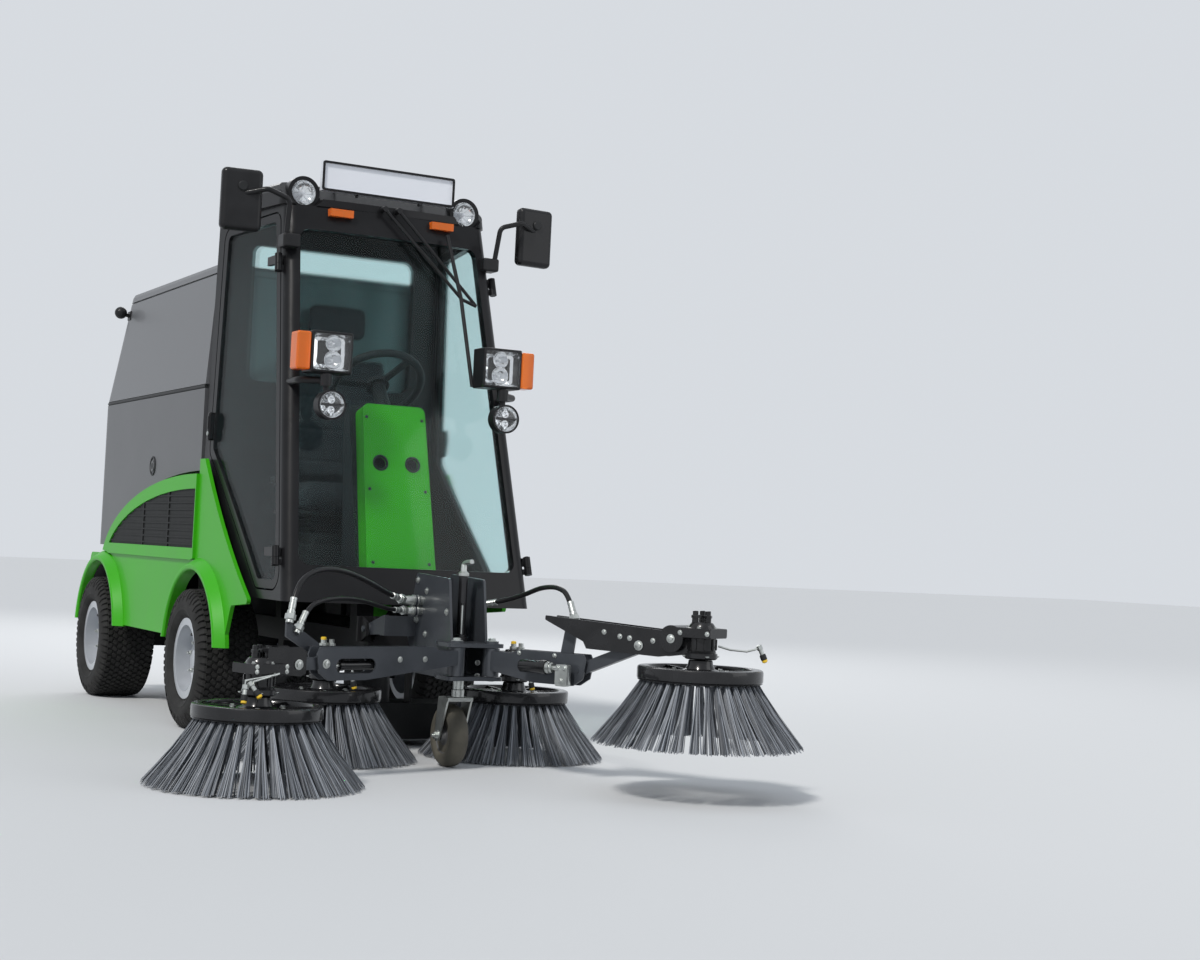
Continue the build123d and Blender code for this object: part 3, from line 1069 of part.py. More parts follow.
# Front frame: lift arms, tower cheeks, cross members, pivot plates and hose couplings
CROSS_Y = -1045.0
PLATE_LOW_Z = 288.0
PLATE_HIGH_Z = 392.0
PIVOT_PLATE = 12.0
PIVOT_PIN_R = 12.0
with BuildPart() as front_frame:
    for side in (-1, 1):
        rod((side * 152, LIFT_Y, LIFT_Z), (side * 178, LIFT_Y, LIFT_Z), 20)
        rod((side * 136, LIFT_Y, LIFT_Z), (side * 194, LIFT_Y, LIFT_Z), 10)
        side_plate([(LIFT_Y - 2, LIFT_Z - 19), (LIFT_Y - 2, LIFT_Z + 19), (CROSS_Y + 12, LIFT_Z + 52),
                    (CROSS_Y, LIFT_Z + 52), (CROSS_Y, LIFT_Z - 10)], side * 165 - 7, 14)
        side_plate([(-1335, 405), (-1298, 603), (-1040, 614), (-1012, 530), (-976, 494), (-982, 400),
                    (-1060, PLATE_LOW_Z),
                    (-1318, PLATE_LOW_Z)], side * CHEEK_X - CHEEK_THICK / 2, CHEEK_THICK, 14)
    for y, low_z, high_z in ((CROSS_Y, 405, 470), (CROSS_Y - 16, 520, 600), (-1180, 296, 380)):
        half_x = 172 if y == CROSS_Y else CHEEK_X
        block((-half_x, half_x), (y, y + 14), (low_z, high_z))
    block((-172, 172), (CROSS_Y, CROSS_Y + 40), (405, 417))
    for z in (PLATE_LOW_Z, PLATE_HIGH_Z):
        flat_plate([(-96, SWING_Y - 25), (96, SWING_Y - 25), (96, SWING_Y + 68), (68, POST_Y + 40),
                    (-68, POST_Y + 40),
                    (-96, SWING_Y + 68)], z, PIVOT_PLATE, 18)
    for side in (-1, 1):
        rod((side * SWING_X, SWING_Y, PLATE_LOW_Z - 2), (side * SWING_X, SWING_Y,
                                                         PLATE_HIGH_Z + PIVOT_PLATE + 4), PIVOT_PIN_R)
        rod((side * SWING_X, SWING_Y, PLATE_HIGH_Z + PIVOT_PLATE),
            (side * SWING_X, SWING_Y, PLATE_HIGH_Z + PIVOT_PLATE + 8), 22)
    # couplings on the cheeks, each ending in a fitting in line with its hose
    for side, hose_r, route_points in HOSES.values():
        fitting(route_points[0], route_points[1], hose_r)
        first = Vector(*route_points[0])
        foot = first - (Vector(*route_points[1]) - first).normalized() * 26
        rod((side * (CHEEK_X - 2), foot.Y, foot.Z), tuple(foot), hose_r + 5)
        rod((side * (CHEEK_X + 16), foot.Y, foot.Z), (side * (CHEEK_X + 38), foot.Y, foot.Z), hose_r + 9)
    rod((0, POST_Y, PLATE_LOW_Z), (0, POST_Y, PLATE_HIGH_Z + PIVOT_PLATE), POST_R + 8)

# Centre post in its sleeve, with a handle at the top
POST_TOP_Z = 620.0
POST_FOOT_Z = 226.5
with BuildPart() as centre_post:
    rod((0, POST_Y, 250), (0, POST_Y, POST_TOP_Z), POST_R)
    rod((0, POST_Y, POST_FOOT_Z), (0, POST_Y, 250), POST_R + 6)
    rod((0, POST_Y, POST_TOP_Z), (0, POST_Y, POST_TOP_Z + 34), 8)
    rod((0, POST_Y, POST_TOP_Z + 34), (0, POST_Y - 60, POST_TOP_Z + 38), 7)
    rod((0, POST_Y, POST_FOOT_Z - 1), (0, POST_Y, 290), STEM_R - 2 + PIN_CLEAR, mode=Mode.SUBTRACT)
with BuildPart(mode=Mode.PRIVATE) as post_hole:
    rod((0, POST_Y, 200), (0, POST_Y, 500), POST_R)
front_frame.part = front_frame.part - post_hole.part

# Castor
CASTOR_Y = POST_Y + CASTOR_TRAIL
with BuildPart() as castor_fork:
    rod((0, POST_Y, 225), (0, POST_Y, 286), STEM_R - 2)
    block((-44, 44), (POST_Y - 24, CASTOR_Y), (214, 226))
    for side in (-1, 1):
        side_plate([(POST_Y - 24, 226), (CASTOR_Y, 226), (CASTOR_Y + 20, CASTOR_R),
                    (CASTOR_Y + 10, CASTOR_R - 17),
                    (CASTOR_Y - 10, CASTOR_R - 17), (CASTOR_Y - 20, CASTOR_R)], side * 41 - 3, 6, 4)
    rod((-50, CASTOR_Y, CASTOR_R), (50, CASTOR_Y, CASTOR_R), 8)
with BuildPart() as castor_wheel:
    with BuildSketch(Plane(origin=(0, CASTOR_Y, CASTOR_R), x_dir=(1, 0, 0),
                           z_dir=(0, -1, 0))) as castor_profile:
        with BuildLine():
            Polyline((-34, 8 + PIN_CLEAR), (34, 8 + PIN_CLEAR), (34, 20), (20, 26), (20, 58), (30, 64),
                     (30, 84),
                     (16, CASTOR_R), (-16, CASTOR_R), (-30, 84), (-30, 64), (-20, 58), (-20, 26), (-34, 20),
                     close=True)
        make_face()
    revolve(castor_profile.sketch, axis=Axis((0, CASTOR_Y, CASTOR_R), (1, 0, 0)))

# One brush about its own axis, its disc's top at z = 0
drop = DISC_TOP_Z - DISC_THICK - TIP_Z_LOW
with BuildPart() as brush:
    Cylinder(BRUSH_DISC_R, DISC_THICK, align=(Align.CENTER, Align.CENTER, Align.MAX))
    Cylinder(34, BRUSH_HUB, align=(Align.CENTER, Align.CENTER, Align.MIN))
    with PolarLocations(0, TUFTS):
        with BuildSketch(Plane.XZ.offset(-TUFT_WIDTH / 2)) as tuft:
            with BuildLine():
                Polyline((TUFT_IN_R, -DISC_THICK), (TUFT_OUT_R, -DISC_THICK),
                         (BRUSH_TIP_R, -DISC_THICK - drop),
                         (BRUSH_TIP_R - 55, -DISC_THICK - drop), close=True)
            make_face()
        with BuildPart(mode=Mode.PRIVATE) as one_tuft:
            extrude(tuft.sketch, amount=TUFT_WIDTH)
        add(one_tuft.part)
    Cylinder(SHAFT_R + PIN_CLEAR, 200, mode=Mode.SUBTRACT)
brush_places = {
    "brush_outer_right": (*right_brush, arm_places(ARMS["right"])[3]),
    "brush_outer_left": (*left_brush, arm_places(ARMS["left"])[3]),
    "brush_mouth_right": (-MOUTH_BRUSH_X, MOUTH_BRUSH_Y, DISC_TOP_Z),
    "brush_mouth_left": (MOUTH_BRUSH_X, MOUTH_BRUSH_Y, DISC_TOP_Z),
}
brushes = {}
for label, place in brush_places.items():
    with BuildPart() as rotor:
        with Locations(place):
            add(brush.part)
    brushes[label] = rotor

# Brush arms: swing arm, lift arm and yoke of each side, drawn along +X and turned into place
PIN_R = 10.0
LINK_Y = 13.0
LINK_HALF = 18.0
HINGE_PIN_END = 25.0
YOKE_PIN_END = 38.0
swing_arms = {}
lift_arms = {}
yokes = {}
for name, side in SIDES:
    arm = ARMS[name]
    inner = arm["inner"]
    link = arm["link"]
    pin_x, pin_z, brush_x, disc_z = arm_places(arm)
    heading = -90 + side * arm["swing"]
    base = Location((side * SWING_X, SWING_Y, 0), (0, 0, heading))
    with BuildPart() as swing_arm:
        rod((0, 0, 302), (0, 0, 390), 26)
        foot = 337 if side < 0 else 322
        for y in (-ARM_PLATE_Y - ARM_PLATE, ARM_PLATE_Y):
            upright_plate([(14, foot), (14, 382), (95, 382), (112, ARM_TOP_Z), (inner + 24, ARM_TOP_Z),
                           (inner + 34, 372),
                           (inner + 24, 318), (inner - 10, 296), (inner - 150, 296)], y, ARM_PLATE, 6)
        flat_plate([(20, -ARM_PLATE_Y), (inner - 28, -ARM_PLATE_Y), (inner - 28, ARM_PLATE_Y),
                    (20, ARM_PLATE_Y)], 374, 6)
        flat_plate([(20, -ARM_PLATE_Y), (120, -ARM_PLATE_Y), (120, ARM_PLATE_Y), (20, ARM_PLATE_Y)], 340, 6)
        if side < 0:
            # long slot of the right arm, and the lug that its hose bracket is bolted to
            with BuildSketch(Plane.XZ.offset(-60)) as slot:
                with Locations(((inner - 112), 338)):
                    SlotOverall(150, 44)
            extrude(slot.sketch, amount=120, mode=Mode.SUBTRACT)
            block((inner - 34, inner + 6), (-58 + SEAT_GAP, -ARM_PLATE_Y - ARM_PLATE + 1), (380, 392))
        else:
            upright_plate([(inner - 74, 376), (inner - 30, 376), (inner - 12, 504), (inner - 52, 504)], -4,
                          8, 5)
        rod((inner, -HINGE_PIN_END, ARM_Z), (inner, HINGE_PIN_END, ARM_Z), PIN_R)
        rod((0, 0, 301), (0, 0, 391), PIVOT_PIN_R + PIN_CLEAR, mode=Mode.SUBTRACT)
    with BuildPart() as hose_bracket:
        upright_plate([(inner - 34, 374), (inner + 6, 374), (inner + 88, 420), (inner + 88, 466),
                       (inner + 20, 432),
                       (inner - 34, 400)], -66, 8, 5)
    with BuildPart() as fittings:
        for hose_side, hose_r, route_points in HOSES.values():
            if hose_side == side:
                fitting(route_points[-1], route_points[-2], hose_r)
    # the right arm's fittings sit on their bracket, the left arm's on the plate between its sides
    if side < 0:
        swing_arm.part = base * swing_arm.part + (base * hose_bracket.part + fittings.part)
    else:
        swing_arm.part = base * swing_arm.part + fittings.part

    with BuildPart() as lift_arm:
        block((0, link), (-LINK_Y, LINK_Y), (-LINK_HALF, LINK_HALF))
        rod((0, -ARM_PLATE_Y + 0.5, 0), (0, ARM_PLATE_Y - 0.5, 0), 22)
        rod((0, -ARM_PLATE_Y, 0), (0, ARM_PLATE_Y, 0), PIN_R + PIN_CLEAR, mode=Mode.SUBTRACT)
        rod((link, -BEAM_PLATE_Y + 0.5, 0), (link, BEAM_PLATE_Y - 0.5, 0), 20)
        rod((link, -YOKE_PIN_END, 0), (link, YOKE_PIN_END, 0), PIN_R)
    lift_arm.part = base * Location((inner, 0, ARM_Z), (0, -arm["rise"], 0)) * lift_arm.part

    reach = arm["yoke"]
    motor_z = disc_z + 28 - pin_z
    with BuildPart() as yoke:
        if side < 0:
            beam = [(-28, -26), (-28, 36), (-10, 50), (reach, 50), (reach, 2), (40, -30), (-10, -34)]
        else:
            beam = [(-335, 58), (-335, 72), (64, 51), (reach, 44), (reach, -10), (68, -29), (-184, -21),
                    (-196, 0)]
        for y in (-BEAM_PLATE_Y - BEAM_PLATE, BEAM_PLATE_Y):
            upright_plate(beam, y, BEAM_PLATE, 4)
            rod((0, y, 0), (0, y + BEAM_PLATE, 0), PIN_R + PIN_CLEAR, mode=Mode.SUBTRACT)
        web_x = reach - 90 if side < 0 else -70
        flat_plate([(web_x, -BEAM_PLATE_Y), (reach, -BEAM_PLATE_Y), (reach, BEAM_PLATE_Y),
                    (web_x, BEAM_PLATE_Y)],
                   38 if side < 0 else 40, 6)
        # swivel disc and straps round the motor
        if side > 0:
            rod((117, -54, 28), (117, 54, 28), 40)
        for y in (-54, 48):
            upright_plate([(reach - 62, motor_z + 60), (reach + 56, motor_z + 60), (reach + 56, motor_z + 88),
                           (reach - 62, motor_z + 88)], y, 6, 5)
        for x in (reach - 62, reach + 50):
            block((x, x + 6), (-50, 50), (motor_z + 60, motor_z + 88))
        block((reach - 20, reach + 20), (-50, 50), (motor_z + 74, motor_z + 84))
        motor(reach, 0, motor_z)
        for y, x in ((-22, reach - 12), (22, reach - 12), (0, reach + 18)):
            rod((x, y, motor_z + 104), (x, y, motor_z + 120), 10)
    yoke.part = base * Location((pin_x, 0, pin_z)) * yoke.part
    swing_arms[name] = swing_arm
    lift_arms[name] = lift_arm
    yokes[name] = yoke

def turn_between(first, middle_point, last):
    """The turn at a route's corner, in radians."""
    one = Vector(*middle_point) - Vector(*first)
    two = Vector(*last) - Vector(*middle_point)
    return radians(one.get_angle(two))


hoses = {}
for label, (side, hose_r, route_points) in HOSES.items():
    runs = [(Vector(*b) - Vector(*a)).length for a, b in zip(route_points, route_points[1:])]
    radii = []
    for i in range(1, len(route_points) - 1):
        turn = turn_between(route_points[i - 1], route_points[i], route_points[i + 1])
        radii.append(0.45 * min(runs[i - 1], runs[i]) / tan(turn / 2))
    with BuildPart() as hose:
        with BuildLine() as route:
            FilletPolyline(*route_points, radius=radii)
        with BuildSketch(Plane(origin=route_points[0], z_dir=Vector(*route_points[1]) - Vector(*route_points[0]))) as ring:
            Circle(hose_r)
        sweep(ring.sketch, path=route.wires()[0])
    length = sum(edge.length for edge in route.edges())
    print(label, "length", round(length, 1), "radii", [round(r) for r in radii],
          "volume over section times length", round(hose.part.volume / (pi * hose_r ** 2 * length), 4))
    hoses[label] = hose

write(chassis, "chassis")
write(front_axle, "front_axle")
write(rear_axle, "rear_axle")
write(engine, "engine")
write(suction_unit, "suction_unit")
write(mouth_brush_arms, "mouth_brush_arms")
write(cab_floor, "cab_floor")
write(cab_frame, "cab_frame")
write(cab_roof, "cab_roof")
write(fixed_glass, "fixed_glass")
write(seat, "seat")
write(console, "console")
write(console_column, "console_column")
write(steering_wheel, "steering_wheel")
write(headlamps, "headlamps")
write(lamp_lenses, "lamp_lenses")
write(amber_lamps, "amber_lamps")
write(rear_lamps, "rear_lamps")
write(mirrors, "mirrors")
write(wipers, "wipers")
write(roof_sign, "roof_sign")
write(side_skirts, "side_skirts")
write(engine_covers, "engine_covers")
write(vent_grilles, "vent_grilles")
write(hopper_tank, "hopper_tank")
write(hopper_hood, "hopper_hood")
write(hopper_door, "hopper_door")
write(rear_camera, "rear_camera")
write(front_frame, "front_frame")
write(centre_post, "centre_post")
write(castor_fork, "castor_fork")
write(castor_wheel, "castor_wheel")
for name, side in SIDES:
    write(door_frames[name], f"door_{name}_frame")
    write(door_panes[name], f"door_{name}_glass")
    write(knuckles[name], f"knuckle_{name}")
    write(swing_arms[name], f"swing_arm_{name}")
    write(lift_arms[name], f"lift_arm_{name}")
    write(yokes[name], f"brush_yoke_{name}")
for label, hose in hoses.items():
    write(hose, label)
for label, rotor in brushes.items():
    write(rotor, label)
for place, tyre in tyres.items():
    write(tyre, f"tyre_{place}")
for place, rim in rims.items():
    write(rim, f"rim_{place}")
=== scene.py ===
import random
from itertools import product
from math import cos, hypot, pi, radians, sin

import bmesh
import bpy
from mathutils import Matrix, Vector


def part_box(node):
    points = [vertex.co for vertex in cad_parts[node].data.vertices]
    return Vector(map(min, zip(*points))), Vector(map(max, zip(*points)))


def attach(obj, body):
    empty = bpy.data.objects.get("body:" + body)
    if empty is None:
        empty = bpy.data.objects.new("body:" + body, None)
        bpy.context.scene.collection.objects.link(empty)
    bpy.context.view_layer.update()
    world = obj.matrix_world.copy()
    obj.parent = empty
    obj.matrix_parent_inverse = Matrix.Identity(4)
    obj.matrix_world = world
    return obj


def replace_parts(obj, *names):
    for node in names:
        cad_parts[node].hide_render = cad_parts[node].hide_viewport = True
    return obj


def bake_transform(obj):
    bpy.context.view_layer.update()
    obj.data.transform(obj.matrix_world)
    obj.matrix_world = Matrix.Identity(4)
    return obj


scene = bpy.context.scene
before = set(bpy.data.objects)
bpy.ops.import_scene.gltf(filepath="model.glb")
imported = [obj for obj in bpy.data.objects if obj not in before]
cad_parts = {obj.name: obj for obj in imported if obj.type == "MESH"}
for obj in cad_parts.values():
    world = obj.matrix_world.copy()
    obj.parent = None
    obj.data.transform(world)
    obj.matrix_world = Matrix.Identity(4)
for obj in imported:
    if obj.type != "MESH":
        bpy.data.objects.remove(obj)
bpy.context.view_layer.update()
chance = random.Random(7)

UP, AHEAD, ACROSS = Vector((0, 0, 1)), Vector((0, -1, 0)), Vector((1, 0, 0))
DOWN, BEHIND = -UP, -AHEAD
SIDES = {"right": -1, "left": 1}
BOTH = (-1, 1)


def middle(node):
    """The centre of a node's box at rest."""
    low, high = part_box(node)
    return (Vector(low) + Vector(high)) / 2


# The point on the ground below the front axle, from which places are measured
front_tyres = (middle("tyre_front_right") + middle("tyre_front_left")) / 2
GROUND = Vector((front_tyres.x, front_tyres.y, 0.0))


def at(x, y, z):
    """A place in the frame, given in millimetres from GROUND."""
    return GROUND + Vector((x, y, z)) / 1000


def shift(x=0, y=0, z=0):
    """A matrix that moves by millimetres."""
    return Matrix.Translation(Vector((x, y, z)) / 1000)


def turn(angle, axis):
    """A matrix that turns about an axis."""
    return Matrix.Rotation(angle, 4, axis)


def about_up(radius, angle, height=0):
    """A step from an upright axis, given in millimetres."""
    return Vector((cos(angle) * radius, sin(angle) * radius, height)) / 1000


def about_axle(radius, angle, axial=0):
    """A step from the middle of a wheel, given in millimetres."""
    return Vector((axial, cos(angle) * radius, sin(angle) * radius)) / 1000


def new_object(name, data):
    """An object with its data, linked to the scene."""
    made = bpy.data.objects.new(name, data)
    scene.collection.objects.link(made)
    return made


# Camera, fitted to the photograph
PHOTO_WIDTH = 1200
FOCAL_PIXELS = 1919
SENSOR = 36.0
CAMERA_PLACE = (-2529, -6876, 700)
CAMERA_YAW, CAMERA_PITCH, CAMERA_ROLL = 0.492, 0.039, 0.047

camera_data = bpy.data.cameras.new("camera")
camera_data.sensor_width = SENSOR
camera_data.lens = FOCAL_PIXELS / PHOTO_WIDTH * SENSOR
camera_data.clip_end = 200
camera = scene.camera = new_object("camera", camera_data)
camera.matrix_world = (Matrix.Translation(at(*CAMERA_PLACE)) @ turn(-CAMERA_YAW, "Z")
                       @ turn(pi / 2 + CAMERA_PITCH, "X") @ turn(CAMERA_ROLL, "Z"))

# Materials
materials = {}
BUMP_DEPTH = 0.0008
COAT_ROUGH = 0.06
ROUGH_VARY = 0.06
# The sockets of a Mix node that are for colours
MIX_COLOUR_A, MIX_COLOUR_B, MIX_COLOUR_OUT = 6, 7, 2


def set_inputs(node, **inputs):
    """Set a node's inputs. In their names an underscore stands for a space."""
    for name, value in inputs.items():
        node.inputs[name.replace("_", " ")].default_value = value
    return node


def add_node(tree, kind, **inputs):
    return set_inputs(tree.nodes.new("ShaderNode" + kind), **inputs)


def add_ramp(tree, factor, colours, start=0.0, end=1.0):
    """The output of a ramp from one colour to another, as the factor goes from start to end."""
    ramp = add_node(tree, "ValToRGB")
    for element, position, colour in zip(ramp.color_ramp.elements, (start, end), colours):
        element.position = position
        element.color = (*colour, 1)
    tree.links.new(factor, ramp.inputs["Fac"])
    return ramp.outputs["Color"]


def add_finish(slot, colours, rough, metallic=0.0, scale=6.0, bump=0.0, grain_scale=200.0, coat=0.0, gloss=0.5):
    """A finish that varies a little with fine noise. Returns its tree and shader."""
    material = materials[slot] = bpy.data.materials.new(slot)
    material.use_nodes = True
    tree = material.node_tree
    shader = set_inputs(tree.nodes["Principled BSDF"], Metallic=metallic, Coat_Weight=coat, Coat_Roughness=COAT_ROUGH,
                        Specular_IOR_Level=gloss)
    place = add_node(tree, "TexCoord").outputs["Object"]
    noise = add_node(tree, "TexNoise", Scale=scale, Detail=5.0)
    tree.links.new(place, noise.inputs["Vector"])
    if colours:
        tree.links.new(add_ramp(tree, noise.outputs["Fac"], colours, 0.3, 0.7), shader.inputs["Base Color"])
    spread = add_node(tree, "MapRange", To_Min=max(0.02, rough - ROUGH_VARY), To_Max=min(1.0, rough + ROUGH_VARY))
    tree.links.new(noise.outputs["Fac"], spread.inputs["Value"])
    tree.links.new(spread.outputs["Result"], shader.inputs["Roughness"])
    if bump:
        grain = add_node(tree, "TexNoise", Scale=grain_scale, Detail=3.0)
        tree.links.new(place, grain.inputs["Vector"])
        relief = add_node(tree, "Bump", Strength=bump, Distance=BUMP_DEPTH)
        tree.links.new(grain.outputs["Fac"], relief.inputs["Height"])
        tree.links.new(relief.outputs["Normal"], shader.inputs["Normal"])
    return tree, shader


def shades_of(colour, vary):
    """A darker and a lighter shade of a colour."""
    return [[min(1.0, part * (1 + way * vary)) for part in colour] for way in BOTH]


# slot, colour, its variation, roughness, metallic, noise scale, bump, grain scale, then coat and gloss
FINISHES = (
    ("green_paint", (0.040, 0.36, 0.006), 0.06, 0.40, 0.0, 3.0, 0.03, 300.0, 0.12, 0.2),
    ("hopper_grey", (0.135, 0.138, 0.145), 0.06, 0.42, 0.15, 4.0, 0.04, 500.0, 0.15),
    ("cab_black", (0.009, 0.009, 0.010), 0.2, 0.34, 0.0, 8.0, 0.03, 400.0, 0.12, 0.15),
    ("cab_plastic", (0.018, 0.019, 0.021), 0.2, 0.55, 0.0, 20.0, 0.03, 600.0, 0.0, 0.22),
    ("frame_black", (0.011, 0.011, 0.012), 0.25, 0.5, 0.0, 12.0, 0.08, 250.0, 0.0, 0.22),
    ("arm_anthracite", (0.046, 0.051, 0.059), 0.12, 0.36, 0.2, 10.0, 0.05, 350.0, 0.2),
    ("motor_black", (0.012, 0.012, 0.013), 0.3, 0.26, 0.1, 18.0, 0.04, 200.0, 0.4, 0.22),
    ("engine_grey", (0.10, 0.10, 0.10), 0.2, 0.55, 0.3, 15.0, 0.1, 150.0),
    ("black_plastic", (0.020, 0.021, 0.022), 0.2, 0.5, 0.0, 12.0, 0.08, 300.0, 0.0, 0.22),
    ("seat_fabric", (0.030, 0.032, 0.036), 0.25, 0.85, 0.0, 60.0, 0.3, 900.0, 0.0, 0.22),
    ("lamp_black", (0.012, 0.012, 0.013), 0.2, 0.4, 0.0, 14.0, 0.05, 500.0, 0.1, 0.22),
    ("sign_white", (0.74, 0.76, 0.80), 0.02, 0.35, 0.0, 6.0, 0.0, 100.0, 0.1),
    ("mesh_black", (0.009, 0.010, 0.010), 0.2, 0.6, 0.0, 30.0, 0.2, 400.0, 0.0, 0.22),
    ("post_steel", (0.03, 0.03, 0.032), 0.2, 0.3, 0.6, 20.0, 0.03, 300.0, 0.2),
    ("galvanised", (0.50, 0.52, 0.50), 0.18, 0.34, 0.9, 25.0, 0.06, 160.0),
    ("castor_rubber", (0.085, 0.078, 0.060), 0.2, 0.75, 0.0, 20.0, 0.15, 250.0),
    ("tyre_black", (0.024, 0.0235, 0.023), 0.4, 0.8, 0.0, 14.0, 0.3, 350.0, 0.0, 0.22),
    ("rim_silver", (0.50, 0.52, 0.55), 0.06, 0.34, 0.45, 8.0, 0.02, 400.0, 0.2),
    ("hose_rubber", (0.013, 0.013, 0.014), 0.2, 0.35, 0.0, 40.0, 0.1, 700.0, 0.0, 0.22),
    ("reflector", (0.85, 0.86, 0.87), 0.03, 0.08, 1.0, 60.0, 0.25, 140.0),
    ("nozzle_yellow", (0.80, 0.52, 0.03), 0.05, 0.4, 0.0, 40.0, 0.05, 500.0, 0.1),
)
for slot, colour, vary, *qualities in FINISHES:
    add_finish(slot, shades_of(colour, vary), *qualities)


def add_clear(slot, colour, rough, transmission, alpha=1.0):
    """A clear or tinted glass or plastic, with a faint unevenness."""
    tree, shader = add_finish(slot, shades_of(colour, 0.04), rough)
    tree.links.remove(shader.inputs["Roughness"].links[0])
    set_inputs(shader, Roughness=rough, Transmission_Weight=transmission, Alpha=alpha, IOR=1.45)
    if alpha < 1:
        # a pane hardly bends the light, and its gloss is a coat
        set_inputs(shader, IOR=1.02, Coat_Weight=0.8, Coat_Roughness=0.01)


add_clear("tinted_glass", (0.37, 0.74, 0.72), 0.0, 1.0, 0.32)
add_clear("lamp_glass", (0.95, 0.96, 0.96), 0.02, 0.95, 0.5)
add_clear("amber_plastic", (0.95, 0.22, 0.02), 0.12, 0.45)
add_clear("red_plastic", (0.6, 0.01, 0.01), 0.15, 0.3)


# Flat plastic bristles: each one its own shade, from dark to pale grey
bristle_tree, bristle_shader = add_finish("bristle_grey", None, 0.5, scale=40.0)
single = add_node(bristle_tree, "NewGeometry").outputs["Random Per Island"]
bristle_shades = add_ramp(bristle_tree, single, ((0.045, 0.049, 0.056), (0.28, 0.30, 0.33)))
bristle_tree.links.new(bristle_shades, bristle_shader.inputs["Base Color"])


def darken_low(slot, height, low):
    """Make a finish darker below a height."""
    tree = materials[slot].node_tree
    link = tree.links.new
    base = tree.nodes["Principled BSDF"].inputs["Base Color"]
    split = add_node(tree, "SeparateXYZ")
    link(add_node(tree, "TexCoord").outputs["Object"], split.inputs["Vector"])
    level = add_node(tree, "Math")
    level.operation = "GREATER_THAN"
    level.inputs[1].default_value = height
    link(split.outputs["Z"], level.inputs[0])
    shade = add_node(tree, "MapRange", To_Min=low)
    link(level.outputs["Value"], shade.inputs["Value"])
    mix = add_node(tree, "Mix", Factor=1.0)
    mix.data_type = "RGBA"
    mix.blend_type = "MULTIPLY"
    link(base.links[0].from_socket, mix.inputs[MIX_COLOUR_A])
    link(shade.outputs["Result"], mix.inputs[MIX_COLOUR_B])
    link(mix.outputs[MIX_COLOUR_OUT], base)


HOPPER_SEAM = 1.252
darken_low("hopper_grey", HOPPER_SEAM, 0.62)
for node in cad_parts.values():
    for place in node.material_slots:
        slot_name = place.material.name.split(".")[0] if place.material else None
        if slot_name in materials:
            place.material = materials[slot_name]


